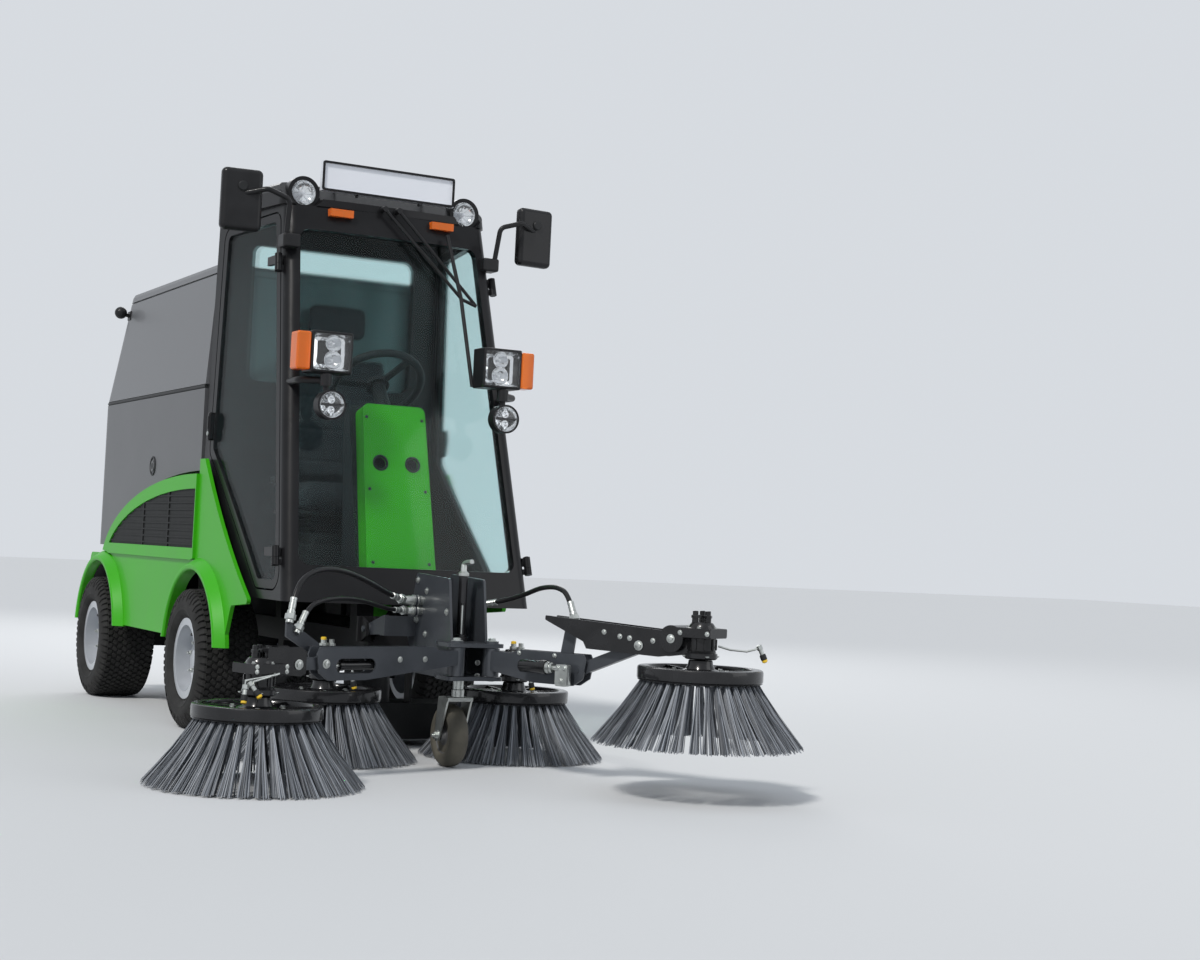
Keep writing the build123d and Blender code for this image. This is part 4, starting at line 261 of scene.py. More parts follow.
# Making of pieces
class Form:
    """Points and faces gathered for one piece, with a finish for each face."""

    def __init__(self):
        self.points, self.faces, self.finish = [], [], []

    def add(self, points, faces, finish=0):
        first = len(self.points)
        self.points.extend(points)
        self.faces.extend([tuple(first + i for i in face) for face in faces])
        self.finish.extend([finish] * len(faces))

    def loft(self, rings, finish=0, ends="both", flip=False, wrap=True):
        """A skin over rings of as many points, closed at the ends named: both, first, last or none."""
        count = len(rings[0])
        last = (len(rings) - 1) * count
        faces = []
        for a in range(0, last, count):
            b = a + count
            for i in range(count if wrap else count - 1):
                j = (i + 1) % count
                faces.append((a + i, a + j, b + j, b + i))
        if ends in ("both", "first"):
            faces.append(tuple(reversed(range(count))))
        if ends in ("both", "last"):
            faces.append(tuple(range(last, last + count)))
        if flip:
            faces = [face[::-1] for face in faces]
        self.add([point for ring in rings for point in ring], faces, finish)

    def lathe(self, place, axis, profile, sides=24, finish=0, ends="both"):
        """A turned form: profile holds (distance along the axis, radius) in millimetres."""
        axis = Vector(axis).normalized()
        across = axis.orthogonal().normalized()
        other = axis.cross(across)
        rings = [circle(Vector(place) + axis * along / 1000, across, other, radius, sides) for along, radius in profile]
        self.loft(rings, finish, ends)

    def bolt(self, place, axis, radius=6.0, height=5.0, finish=0):
        """A hexagon head with a washer below it, standing on a surface."""
        self.lathe(place, axis, [(-1, radius * 1.5), (1.4, radius * 1.5), (1.6, radius * 1.4)], 20, finish)
        self.lathe(place, axis, [(1, radius), (height - 0.8, radius), (height, radius * 0.84)], 6, finish)

    def tube(self, path, radius, sides=12, finish=0):
        """A round tube along places, with the radius in millimetres."""
        path = [Vector(place) for place in path]
        guide = (path[1] - path[0]).orthogonal().normalized()
        rings = []
        for i, place in enumerate(path):
            along = (path[min(i + 1, len(path) - 1)] - path[max(i - 1, 0)]).normalized()
            guide = (guide - along * guide.dot(along)).normalized()
            rings.append(circle(place, guide, along.cross(guide), radius, sides))
        self.loft(rings, finish)

    def slab(self, matrix, outline, thick, edge=0.8, finish=0):
        """A plate of an outline in millimetres on a matrix's XY plane, with its edges eased."""
        centre_x, centre_y = (sum(values) / len(outline) for values in zip(*outline))

        def ring(z, shrink):
            places = []
            for x, y in outline:
                reach = max(hypot(x - centre_x, y - centre_y), 1e-6)
                share = (reach - shrink) / reach
                spot = Vector((centre_x + (x - centre_x) * share, centre_y + (y - centre_y) * share, z))
                places.append(matrix @ (spot / 1000))
            return places

        self.loft([ring(0, edge), ring(edge, 0), ring(thick - edge, 0), ring(thick, edge)], finish)

    def plate(self, place, normal, size, thick, edge=0.8, finish=0):
        """A slab with round corners that faces along a normal. size: half its width and height, and its corner."""
        self.slab(facing(place, normal), rounded_outline(*size), thick, edge, finish)

    def border(self, matrix, outer, inner, thick, finish=0):
        """A flat ring between two outlines that have as many points."""
        a, b, c, d = (level * len(outer) for level in range(4))
        points = [matrix @ (Vector((x, y, z)) / 1000) for z in (0, thick) for line in (outer, inner) for x, y in line]
        faces = []
        for i in range(len(outer)):
            j = (i + 1) % len(outer)
            faces.extend([(a + i, b + i, b + j, a + j), (c + i, c + j, d + j, d + i),
                          (a + i, a + j, c + j, c + i), (b + j, b + i, d + i, d + j)])
        self.add(points, faces, finish)

    def make(self, name, body, finishes, sharp=35):
        """The piece, which rides on a body. finishes are its materials, the first of them its slot."""
        mesh = bpy.data.meshes.new(name)
        mesh.from_pydata([tuple(point) for point in self.points], [], self.faces)
        for finish in finishes:
            mesh.materials.append(materials[finish])
        mesh.polygons.foreach_set("material_index", self.finish)
        mesh.validate()
        mesh.shade_smooth()
        mesh.set_sharp_from_angle(angle=radians(sharp))
        piece = new_object(name, mesh)
        if body:
            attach(piece, body)
        return piece


def circle(centre, across, other, radius, sides):
    """Places round a centre, on the plane of two directions, with the radius in millimetres."""
    angles = [2 * pi * side / sides for side in range(sides)]
    return [centre + (across * cos(angle) + other * sin(angle)) * radius / 1000 for angle in angles]


def rounded_outline(half_x, half_y, corner, steps=5):
    """The points of a rectangle with round corners, in millimetres."""
    outline = []
    for quarter, (sx, sy) in enumerate(((1, 1), (-1, 1), (-1, -1), (1, -1))):
        for step in range(steps + 1):
            angle = pi / 2 * (quarter + step / steps)
            outline.append((sx * (half_x - corner) + corner * cos(angle), sy * (half_y - corner) + corner * sin(angle)))
    return outline


def facing(place, normal):
    """A matrix at a place whose Z is a normal. Its Y is up if the normal is level, and rearward if it is up."""
    z = Vector(normal).normalized()
    x = UP.cross(z).normalized() if z != UP else ACROSS
    return Matrix.Translation(Vector(place)) @ Matrix((x, z.cross(x), z)).transposed().to_4x4()


# Hoses: side, radius, length, and the points of the route, which are those of the solids
HOSES = {
    "hose_upper_right": ("right", 8.0, 0.716, (
        (-150, -1105, 530), (-210, -1150, 545), (-300, -1225, 580), (-410, -1310, 612),
        (-510, -1388, 622), (-592, -1452, 602), (-638, -1492, 556), (-653, -1507, 490))),
    "hose_lower_right": ("right", 7.0, 0.648, (
        (-140, -1105, 492), (-195, -1146, 494), (-262, -1195, 508), (-350, -1268, 526),
        (-440, -1345, 532), (-530, -1425, 526), (-590, -1475, 506), (-619.5, -1496, 455))),
    "hose_left": ("left", 8.0, 0.597, (
        (150, -1105, 520), (210, -1148, 535), (236, -1240, 560), (228, -1350, 583),
        (216, -1450, 592), (212, -1520, 592), (213, -1588, 574), (213, -1630, 512))),
}


def smooth_line(name, route):
    """The points of a smooth line that a route's points steer."""
    curve = bpy.data.curves.new(name, "CURVE")
    curve.dimensions = "3D"
    curve.resolution_u = 12
    spline = curve.splines.new("NURBS")
    spline.points.add(len(route) - 1)
    for point, place in zip(spline.points, route):
        point.co = (*at(*place), 1)
    spline.order_u = 3
    spline.use_endpoint_u = True
    line = new_object(name, curve)
    mesh = bpy.data.meshes.new_from_object(line)
    places = [tuple(vertex.co) for vertex in mesh.vertices]
    bpy.data.objects.remove(line)
    bpy.data.meshes.remove(mesh)
    return places


def make_hoses():
    for name, (side_name, radius, length, route) in HOSES.items():
        path = smooth_line(name + "_line", route)
        form = Form()
        form.tube(path, radius, 16)
        hose = form.make(name + "_rubber", None, ["hose_rubber"])
        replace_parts(hose, name)
        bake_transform(hose)


make_hoses()


# Brushes: a thick black disc with tufts of flat bristles
TUFTS = 38
BRISTLES = 46
HUB_UP = 22
DISC = [(-45, 30), (-45, 176), (-43, 182), (-40, 186), (-38, 184), (-35, 187), (-7, 187), (-2, 185), (0, 181),
        (0, 158), (-3, 155), (-11, 153), (-11, 62), (-9, 58), (-4, 44), (8, 38), (20, 36), (22, 33)]
DISC_WEB = [(60, -1), (154, -1), (154, 9), (140, 8), (70, 3), (60, 3)]
PAN = -11
ROOT_Z = -43
ROOT_R, ROOT_SPREAD = 148, 28
TIP_R, TIP_SPREAD = 262, 52
HALF_WIDE, HALF_DEEP = 1.5, 0.8


def add_bristle(form, top, drop, heading, lean):
    """One bristle of a tuft: a thin strip of three sides that bends outward on its way down."""
    inner = chance.random()
    across = chance.uniform(-1, 1)
    root_r = ROOT_R + ROOT_SPREAD * inner + chance.uniform(-1, 1)
    tip_r = TIP_R + TIP_SPREAD * min(1, max(0, inner + chance.uniform(-0.25, 0.25)))
    root_angle = heading + across * 0.030
    tip_angle = heading + lean + across * 0.058 + chance.uniform(-0.022, 0.022)
    tip_z = -drop + max(0, chance.gauss(2, 2.5))
    bow = chance.uniform(2, 9)
    twist = chance.uniform(0, pi)
    wide = Vector((-sin(heading), cos(heading), 0))
    deep = Vector((cos(heading), sin(heading), 0.35))
    rings = []
    for share in (0.0, 0.45, 1.0):
        radius = root_r + (tip_r - root_r) * share - bow * 4 * share * (1 - share)
        place = top + about_up(radius, root_angle + (tip_angle - root_angle) * share, ROOT_Z + (tip_z - ROOT_Z) * share)
        rings.append([])
        for corner in range(3):
            angle = twist + 2 * pi * corner / 3
            rings[-1].append(place + (wide * cos(angle) * HALF_WIDE + deep * sin(angle) * HALF_DEEP) / 1000)
    form.loft(rings, 1, "last")


def make_brush(node):
    low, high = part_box(node)
    top = middle(node)
    top.z = high[2] - HUB_UP / 1000
    drop = (top.z - low[2]) * 1000
    form = Form()
    form.lathe(top, UP, DISC, 64)
    for step in range(6):
        angle = pi / 3 * step + 0.2
        form.bolt(top + about_up(82, angle, PAN), UP, 6.5, 6, 2)
        # a stiffening web of the disc
        web = Matrix.Translation(top) @ shift(z=PAN) @ turn(angle + 0.5, "Z") @ turn(pi / 2, "X") @ shift(z=-2.5)
        form.slab(web, DISC_WEB, 5)
    for tuft in range(TUFTS):
        lean = chance.uniform(-0.012, 0.012)
        for _ in range(BRISTLES):
            add_bristle(form, top, drop, 2 * pi * tuft / TUFTS, lean)
    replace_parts(form.make(node + "_bristles", node, ["motor_black", "bristle_grey", "galvanised"], 40), node)


for row, side_name in product(("outer", "mouth"), SIDES):
    make_brush(f"brush_{row}_{side_name}")

# Tyres: a carcass with small turf blocks
TREAD_R = 254.0
TREAD_HALF = 90
TREAD_BASE = 245
ROWS = 9
PITCHES = 58
CARCASS = [(0, 247), (45, 246.5), (80, 245), (96, 239), (104, 231), (109, 218), (112, 210), (113.5, 200), (113.5, 188),
           (112, 180), (112.8, 177), (111, 174), (108, 166), (103, 159), (97, 153.5), (97.5, 151), (95, 149.5),
           (89, 147.5), (87.5, 143), (87.5, 128)]
BLOCK = ((-1, -0.45), (-0.35, -1), (1, -0.6), (1, 0.45), (0.35, 1), (-1, 0.6))
# The shoulder blocks, long and short: distance from the middle plane, radius on top and radius below
SHOULDER = [(88, 251.5, 240), (97, 249, 236), (106, 238, 228)]
SHOULDERS = (SHOULDER + [(110.5, 227, 219)], SHOULDER + [(111.5, 224, 216), (113.8, 211, 208)])


def mirrored(half):
    """A turned profile's other half."""
    return [(-along, radius) for along, radius in reversed(half)]


def add_tread(form, centre):
    """Rows of six-sided blocks round the tread, each row turned the other way."""
    width = 2 * TREAD_HALF / ROWS
    for row, pitch in product(range(ROWS), range(PITCHES)):
        axial = -TREAD_HALF + width * (row + 0.5)
        crown = TREAD_R - 2.5 * (axial / TREAD_HALF) ** 2
        heading = 2 * pi * (pitch + 0.5 * (row % 2)) / PITCHES
        slant = 0.25 if row % 2 else -0.25
        rings = []
        for radius, half_x, half_y in ((TREAD_BASE, width * 0.52, 10.6), (crown, width * 0.43, 8.6)):
            corners = [(x * half_x, y * half_y + slant * x * half_x) for x, y in BLOCK]
            rings.append([centre + about_axle(radius, heading + y / radius, axial + x) for x, y in corners])
        form.loft(rings, 0, "last")


def add_shoulders(form, centre):
    """Blocks that run down over the sidewalls, a long and a short one in turn."""
    for side, pitch in product(BOTH, range(PITCHES)):
        heading = 2 * pi * (pitch + (0.25 if side > 0 else 0.75)) / PITCHES
        rings = []
        for axial, top_r, base_r in SHOULDERS[pitch % 2]:
            half = 8.2 if axial < 100 else 6.6
            corners = ((axial - 6, base_r, -half - 2.5), (axial, top_r, -half), (axial, top_r, half),
                       (axial - 6, base_r, half + 2.5))
            rings.append([centre + about_axle(radius, heading + y / radius, side * x) for x, radius, y in corners])
        form.loft(rings, 0, flip=side < 0, wrap=False)


def make_tyre(node, body):
    form = Form()
    centre = middle(node)
    form.lathe(centre, ACROSS, mirrored(CARCASS) + CARCASS[1:], 96, 0, "none")
    add_tread(form, centre)
    add_shoulders(form, centre)
    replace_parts(form.make(node + "_tread", body, ["tyre_black"], 32), node)


def make_wheel_details(node, body, side):
    """Wheel nuts, hub cap and valve on the dish of a rim."""
    centre = middle(node)
    out = ACROSS * side
    dish = centre + out * 0.048
    form = Form()
    for step in range(5):
        spot = dish + about_axle(56, 2 * pi * step / 5 + 0.3)
        form.lathe(spot, out, [(-2, 11), (3, 11), (4, 10)], 20, 1)
        form.lathe(spot, out, [(3, 9.5), (14, 9.5), (16, 8)], 6, 1)
        form.lathe(spot, out, [(14, 5), (24, 5), (25, 4)], 12, 1)
    form.lathe(dish, out, [(-2, 33), (12, 33), (17, 30), (19, 22), (19.5, 6)], 32)
    stem = centre + out * 0.060 + about_axle(104, 2.1)
    form.lathe(stem, out, [(0, 5), (22, 4), (24, 5.5), (32, 5.5), (34, 4)], 12, 2)
    form.make(node + "_fixings", body, ["rim_silver", "galvanised", "black_plastic"])


for axle, (side_name, side) in product(("front", "rear"), SIDES.items()):
    wheel = f"{axle}_{side_name}"
    make_tyre("tyre_" + wheel, "wheel_" + wheel)
    make_wheel_details("rim_" + wheel, "wheel_" + wheel, side)

# Headlamps, work lamps and roof lamps: reflectors, bulbs and bars behind their lenses
HEAD = (315, -814, 1334)
WORK = (320, -850, 1156)
POD = (310, -425, 1929)
HEAD_HALF = 66


def make_lamps():
    form = Form()
    for side in BOTH:
        # square headlamp: a deep reflector, and in it two bowls with bulbs
        x, y, z = side * HEAD[0], HEAD[1], HEAD[2]
        front = facing(at(x, y + 6, z), AHEAD)
        rings = []
        for shrink, depth in ((0, 0), (3, -12), (10, -26), (34, -30)):
            share = 1 - shrink / HEAD_HALF
            rings.append([front @ (Vector((px * share, pz * share, depth)) / 1000)
                          for px, pz in rounded_outline(63, 60, 12)])
        form.loft(rings, 1, "none", flip=True)
        form.add(rings[-1], [range(len(rings[-1]))], 1)
        for bulb_z, bowl in ((30, 27), (-26, 30)):
            spot = at(x - side * 6, y + 33, z + bulb_z)
            profile = [(0, 8), (4, bowl * 0.45), (10, bowl * 0.75), (18, bowl * 0.95), (24, bowl), (24, bowl + 1.5)]
            form.lathe(spot, AHEAD, profile, 32, 1, "first")
            form.lathe(spot, AHEAD, [(3, 5), (16, 5), (20, 3.5)], 12, 2)
        # round work lamp: a shallow bowl, two bulbs and a bar across
        x, y, z = side * WORK[0], WORK[1], WORK[2]
        form.lathe(at(x, y + 26, z), AHEAD, [(0, 6), (3, 18), (9, 31), (18, 39), (24, 42), (24, 43)], 40, 1, "first")
        for bulb_z in (-17, 17):
            form.lathe(at(x, y + 24, z + bulb_z), AHEAD, [(0, 9), (5, 9), (9, 12), (14, 13), (14, 9), (6, 5)], 24, 1)
        form.slab(facing(at(x, y + 4, z), AHEAD), [(-38, -4), (38, -4), (38, 4), (-38, 4)], 3, 0.5)
        # round roof lamp: a bowl with ribs and a bulb
        spot = at(side * POD[0], POD[1] + 26, POD[2])
        form.lathe(spot, AHEAD, [(0, 6), (3, 18), (9, 31), (18, 39), (24, 43), (24, 44)], 40, 1, "first")
        form.lathe(spot, AHEAD, [(1, 8), (12, 8), (17, 6), (18, 3)], 20, 2)
        for step in range(8):
            rib = facing(spot, AHEAD) @ turn(pi / 4 * step, "Z") @ turn(pi / 2, "X")
            form.slab(rib, [(12, 2), (38, 17), (38, 21), (12, 6)], 1.2, 0.3, 1)
    form.make("lamp_reflectors", "root", ["lamp_black", "reflector", "sign_white"])


def make_sign():
    """The roof sign's black border and two screws below it. The panel is bare."""
    form = Form()
    form.border(facing(at(0, -450.4, 1995), AHEAD), rounded_outline(254, 53, 9), rounded_outline(246, 45, 4), 5)
    for side in BOTH:
        form.lathe(at(side * 120, -440, 1936), AHEAD, [(0, 5), (8, 5), (9, 3)], 12)
    form.make("sign_border", "root", ["cab_black"])


def make_mirrors():
    """Each mirror's glass in its rear recess, and a clamp on its back."""
    form = Form()
    for side in BOTH:
        place = Matrix.Translation(at(side * 560, -500, 1860)) @ turn(radians(side * 6), "Z")
        form.slab(place @ shift(y=20.2) @ facing((0, 0, 0), BEHIND), rounded_outline(59, 95, 22), 2.4, 0.6, 1)
        form.lathe(place @ Vector((0, -0.023, 0.045)), place.to_3x3() @ AHEAD, [(-2, 17), (4, 17), (7, 14)])
    form.make("mirror_glass", "root", ["black_plastic", "reflector"])


make_lamps()
make_sign()
make_mirrors()


# Front end: each arm's swing in degrees. The arm's own X runs out along it
SWING = {"right": 72.0, "left": 31.0}
# The photograph's viewing direction and its right, on the ground
TO_CAMERA = Vector((-0.4717, -0.8809, 0))
IMAGE_RIGHT = Vector((0.8797, -0.4731, 0))


def arm_matrix(arm):
    side = SIDES[arm]
    return Matrix.Translation(at(side * 60, -1375, 0)) @ turn(radians(-90 + side * SWING[arm]), "Z")


def on_arm(arm, x, y, z):
    """A place on an arm, given in millimetres."""
    return arm_matrix(arm) @ (Vector((x, y, z)) / 1000)


def arm_axes(arm):
    """The direction along an arm, and the one out of its side that the photograph shows."""
    turned = arm_matrix(arm).to_3x3()
    return turned @ ACROSS, turned @ AHEAD * SIDES[arm]


def hose_end(form, end, before, radius):
    """Crimped ferrule, nut and stem over the end of a hose."""
    end = at(*end)
    along = (end - at(*before)).normalized()
    crimp = ((-46, 0.5), (-45, 2.4), (-38, 2.6), (-37, 1.8), (-30, 1.8), (-29, 2.6), (-12, 2.6), (-11, 1.6), (-6, 1.6),
             (-5, 4.2), (1, 4.2), (2, 3.4), (31, 3.4), (32, 2))
    form.lathe(end, along, [(place, radius + more) for place, more in crimp])
    nut = ((5, 6.3), (20.6, 6.3), (22, 4.5))
    form.lathe(end, along, [(place, (radius + more) / 0.866) for place, more in nut], 6)


def make_front_fittings():
    """Hose couplings and bolts on the tower, then the castor's post with its sleeve and level tube."""
    form = Form()
    for side_name, radius, _, route in HOSES.values():
        side = SIDES[side_name]
        hose_end(form, route[0], route[1], radius)
        first = Vector(route[0])
        foot = first - (Vector(route[1]) - first).normalized() * 26
        reach = abs(foot.x) - 64
        elbow = ((-1, 7), (6, 7), (7, 5.6), (13, 5.6), (14, 9.6), (19, 9.6), (20, 8.8), (26, 8.8), (27, 9.8), (34, 9.8),
                 (35, 7), (reach, 5.6), (reach + 4, 3))
        form.lathe(at(side * 64, foot.y, foot.z), ACROSS * side, [(place, radius + more) for place, more in elbow], 28)
        # a small plug below each coupling
        form.bolt(at(side * 65, foot.y + 34, foot.z - 30), ACROSS * side, 8, 9)
    for side in BOTH:
        for y, z in ((-1126, 557), (-1292, 497), (-1128, 418), (-1050, 590)):
            form.bolt(at(side * 64, y, z), ACROSS * side, 7.5, 6)
        form.bolt(at(side * 60, -1375, 412), UP, 12, 9)
        for z in (298, 340):
            form.bolt(at(side * 40, -1318, z), AHEAD)
    form.make("front_fittings", "front_frame", ["galvanised"])

    post = Form()
    top = at(0, -1266, 0)
    post.lathe(top, UP, [(228, 20.6), (250, 20.6), (252, 17.4), (287, 17.4)], 32)
    post.lathe(top, UP, [(405, 21), (416, 21), (418, 18), (426, 18), (427, 15)], 32, 1)
    post.lathe(top, UP, [(612, 15), (613, 17.5), (622, 17.5), (624, 14), (628, 10), (650, 9), (655, 6)], 28)
    post.tube([at(-7, -1284, z) for z in (428, 460, 500, 520)], 4, 16)
    post.lathe(at(-7, -1284, 0), UP, [(520, 5.5), (528, 5.5), (530, 3)], 16, 1)
    post.tube([at(0, -1266, 652), at(0, -1290, 657), at(0, -1326, 659)], 7.6, 16)
    post.make("post_sleeve", "front_frame", ["galvanised", "post_steel"])


def make_castor():
    form = Form()
    centre = middle("castor_wheel")
    tyre = [(6, 99.8), (16, 98), (25, 92), (29.5, 84), (31.5, 74), (30, 64), (26, 59), (19, 57)]
    hub = [(23, 58.5), (19, 54), (16, 40), (22, 25), (34, 19), (34, 8.2)]
    form.lathe(centre, ACROSS, mirrored(tyre) + tyre, 72)
    form.lathe(centre, ACROSS, mirrored(hub) + hub, 48, 1)
    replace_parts(form.make("castor_tyre", "castor_wheel", ["castor_rubber", "engine_grey"]), "castor_wheel")
    nuts = Form()
    for side in BOTH:
        nuts.bolt(at(side * 44, -1216, 100), ACROSS * side, 12, 11)
        nuts.lathe(at(side * 50, -1216, 100), ACROSS * side, [(4, 6), (12, 6), (13, 4.5)], 16)
    nuts.make("castor_nuts", "castor", ["galvanised"])


def add_motor(form, centre, low):
    """Dress of a gear motor whose foot is at low, in millimetres: barrel, ribs, bolts and cap."""
    foot = Vector((centre.x, centre.y, low / 1000))
    form.lathe(foot, UP, [(-4, 30), (-4, 44), (0, 49), (13, 49), (15, 46)], 40, 1)
    form.lathe(foot, UP, [(14, 44), (20, 45), (22, 43), (58, 43), (60, 45.5), (70, 45.5), (72, 47), (84, 47), (87, 45),
                          (89, 40), (96, 38), (104, 32), (106, 24)], 48)
    for step in range(10):
        rib = Matrix.Translation(foot) @ turn(2 * pi * step / 10, "Z") @ turn(pi / 2, "X") @ shift(z=-3)
        form.slab(rib, [(40, 23), (47, 25), (47, 56), (40, 58)], 6, 1.0)
    for step in range(4):
        angle = pi / 2 * step + pi / 4
        form.bolt(foot + about_up(38.5, angle, 88), UP, 5, 6, 2)
        form.bolt(foot + about_up(52, angle + 0.6, 6), DOWN, 4, 4, 2)


def add_port(form, place, finish, tip=None):
    """A threaded port with its nut, and a cap of another finish on top."""
    form.lathe(place, UP, [(0, 13), (7, 13), (8.5, 11)], 6, finish)
    form.lathe(place, UP, [(7, 8.5), (20, 8.5), (21, 7)], 20, finish)
    if tip is not None:
        form.lathe(place, UP, [(19, 9), (26, 9), (28, 6)], 16, tip)


def add_nozzle(form, path, along, finish=0):
    """A spray nozzle on a thin tube: union, black holder and yellow cap."""
    form.tube(path, 3.2, 10, finish)
    tip = path[-1]
    along = Vector(along).normalized()
    form.lathe(tip - along * 0.022, along, [(0, 5), (2, 9), (14, 9), (16, 7)], 6, finish)
    form.lathe(tip - along * 0.008, along, [(0, 6.5), (18, 6.5)], 16, finish)
    form.lathe(tip + along * 0.008, along, [(0, 7), (2, 9.5), (16, 9.5), (18, 8)], 20, finish + 1)
    form.lathe(tip + along * 0.025, along, [(0, 7.5), (1, 8.5), (7, 8.2), (9, 5), (10, 2)], 20, finish + 2)


def moved(place, near, right, height=None):
    """A place moved towards the camera and to the image's right, in millimetres, and set to a height."""
    place = place + (TO_CAMERA * near + IMAGE_RIGHT * right) / 1000
    if height is not None:
        place.z = height / 1000
    return place


def outer_nozzles(arm, centre):
    """The paths of the spray nozzles at an outer brush, and where each points."""
    if arm == "left":
        start = moved(centre, 0, 50, 447)
        tip = moved(centre, 0, 178, 436)
        path = [start, moved(start, 0, 35, 438), moved(start, 0, 85, 435), moved(tip, 0, 0, 448), tip]
        return ((path, IMAGE_RIGHT * 0.45 + DOWN),)
    start = on_arm("right", 735, 54, 322)
    tip = moved(centre, 105, -20, 272)
    return (([start, moved(start, 20, 0, 318), moved(tip, 0, 0, 304), tip], (-0.15, -0.25, -1)),
            ([moved(start, 0, 12), moved(tip, 0, 22, 302), moved(tip, 0, 24, 284)], (0.5, -0.4, -0.8)))


# Outer motors: foot, the ports' x and z, then the x, y, z and size of the bolts on the yoke's side
MOTORS = {
    "right": (260, 737, 378, (694, 798), 54, (327, 341), 4.5),
    "left": (410, 732, 528, (700, 790), -54, (483,), 5),
}


def make_motors():
    dress = ["motor_black", "post_steel", "galvanised", "black_plastic", "nozzle_yellow"]
    for name, (foot, port_x, port_z, bolt_x, bolt_y, bolt_z, size) in MOTORS.items():
        form = Form()
        centre = middle("brush_outer_" + name)
        add_motor(form, centre, foot)
        for x, y in ((0, -22), (0, 22), (30, 0)):
            add_port(form, on_arm(name, port_x + x, y, port_z), 0)
        for x, z in product(bolt_x, bolt_z):
            form.bolt(on_arm(name, x, bolt_y, z), arm_axes(name)[1], size, 4, 2)
        nozzles = Form()
        for path, along in outer_nozzles(name, centre):
            add_nozzle(nozzles, path, along)
        form.make("motor_dress_" + name, "yoke_" + name, dress)
        nozzles.make("nozzle_" + name, "yoke_" + name, dress[2:])

    # both mouth brushes, whose motors stand on the front frame's plates
    form = Form()
    for side in BOTH:
        centre = at(side * 341, -968, 0)
        add_motor(form, centre, 260)
        for x, y in ((-14, -14), (14, -14), (0, 16)):
            add_port(form, centre + Vector((x, y, 366)) / 1000, 2, 4 if x < 0 else None)
        start = moved(centre, 46, 20, 300)
        tip = moved(centre, 115, 105 if side < 0 else 60, 270)
        add_nozzle(form, [start, moved(start, 30, 0), moved(tip, 0, 0, 300), tip], (0.25, -0.1, -1), 2)
    form.make("motor_dress_mouth", "root", dress)


# The arms' bolts and pins' heads: radius, height and places. They point away from the arm's middle
SWING_BOLTS = {
    "right": ((6, 5, (150, 24, 356), (250, 24, 356)), (9, 7, (530, 24, 345), (530, -24, 345))),
    "left": ((5.5, 5, (292, -70, 350), (316, -70, 350), (304, -70, 312)), (9, 30, (160, -24, 349)),
             (5, 5, (120, -24, 384), (250, -24, 384))),
}
LIFT_PINS = {
    "right": ((10, 7, (640, 38, 345), (640, -38, 345)),),
    "left": ((10, 7, (552.5, -38, 434.9), (552.5, 38, 434.9)),),
}
BEAM_BOLTS = ((5.5, 5, (430, -36, 468), (486, -36, 458), (520, -36, 455), (600, -36, 452)), (9, 7, (669.5, -54, 463)))


def add_arm_bolts(form, arm, bolts):
    for radius, height, *places in bolts:
        for x, y, z in places:
            out = arm_matrix(arm).to_3x3() @ (BEHIND if y > 0 else AHEAD)
            form.bolt(on_arm(arm, x, y, z), out, radius, height)


def make_arm_details():
    """The cylinders, bolts, pins' heads and hose ends of both arms."""
    for name in SIDES:
        along, out = arm_axes(name)
        form = Form()
        if name == "right":
            # the cylinder seen through the long slot
            form.lathe(on_arm(name, 300, 0, 338), along, [(0, 12), (2, 14), (150, 14), (152, 15.5), (166, 15.5),
                                                          (167, 6), (205, 6)], 24, 1)
            form.lathe(on_arm(name, 466, 0, 338), along, [(0, 6.4), (42, 6.4)], 16)
        else:
            # cylinder and clevis on the camera's side
            start = on_arm(name, 150, -66, 349)
            form.lathe(start, along, [(0, 9), (4, 17), (9, 20), (84, 20), (86, 21.5), (100, 21.5), (102, 11)], 32, 1)
            form.lathe(start, along, [(100, 17), (101, 18), (112, 18), (113, 15), (122, 15), (123, 7), (140, 7)])
            form.plate(on_arm(name, 304, -46, 328), out, (22, 33, 8), 24, 1.2)
            form.plate(on_arm(name, 300, -24, 298), out, (15, 3, 2, 2), 24, 0.6)
        add_arm_bolts(form, name, SWING_BOLTS[name])
        for side_name, radius, _, route in HOSES.values():
            if side_name == name:
                hose_end(form, route[-1], route[-2], radius)
        form.make("arm_fixings_" + name, "swing_" + name, ["galvanised", "motor_black"])
        form = Form()
        add_arm_bolts(form, name, LIFT_PINS[name])
        form.make("pin_heads_" + name, "lift_" + name, ["galvanised"])
    form = Form()
    add_arm_bolts(form, "left", BEAM_BOLTS)
    form.make("beam_bolts_left", "yoke_left", ["galvanised"])


make_front_fittings()
make_castor()
make_motors()
make_arm_details()


# Seat: padded cushion, back and headrest over a moulded base
CLOTH_FRAMES = 20
SEAM_HALF = 12


def rounded_block(name, matrix, half, corner, pinch):
    """A finely divided block with round edges, in millimetres, its sides pulled in by pinch."""
    cube = bmesh.new()
    bmesh.ops.create_cube(cube, size=2.0)
    bmesh.ops.subdivide_edges(cube, edges=cube.edges[:], cuts=11, use_grid_fill=True)
    for vertex in cube.verts:
        point = Vector([c * h for c, h in zip(vertex.co, half)])
        inner = Vector([max(corner - h, min(h - corner, c)) for c, h in zip(point, half)])
        point = inner + (point - inner).normalized() * corner
        share = 1 - (point.z / half[2]) ** 2
        point.x -= pinch * share * point.x / half[0]
        point.y -= pinch * share * point.y / half[1]
        vertex.co = matrix @ (point / 1000)
    mesh = bpy.data.meshes.new(name)
    cube.to_mesh(mesh)
    cube.free()
    return new_object(name, mesh)


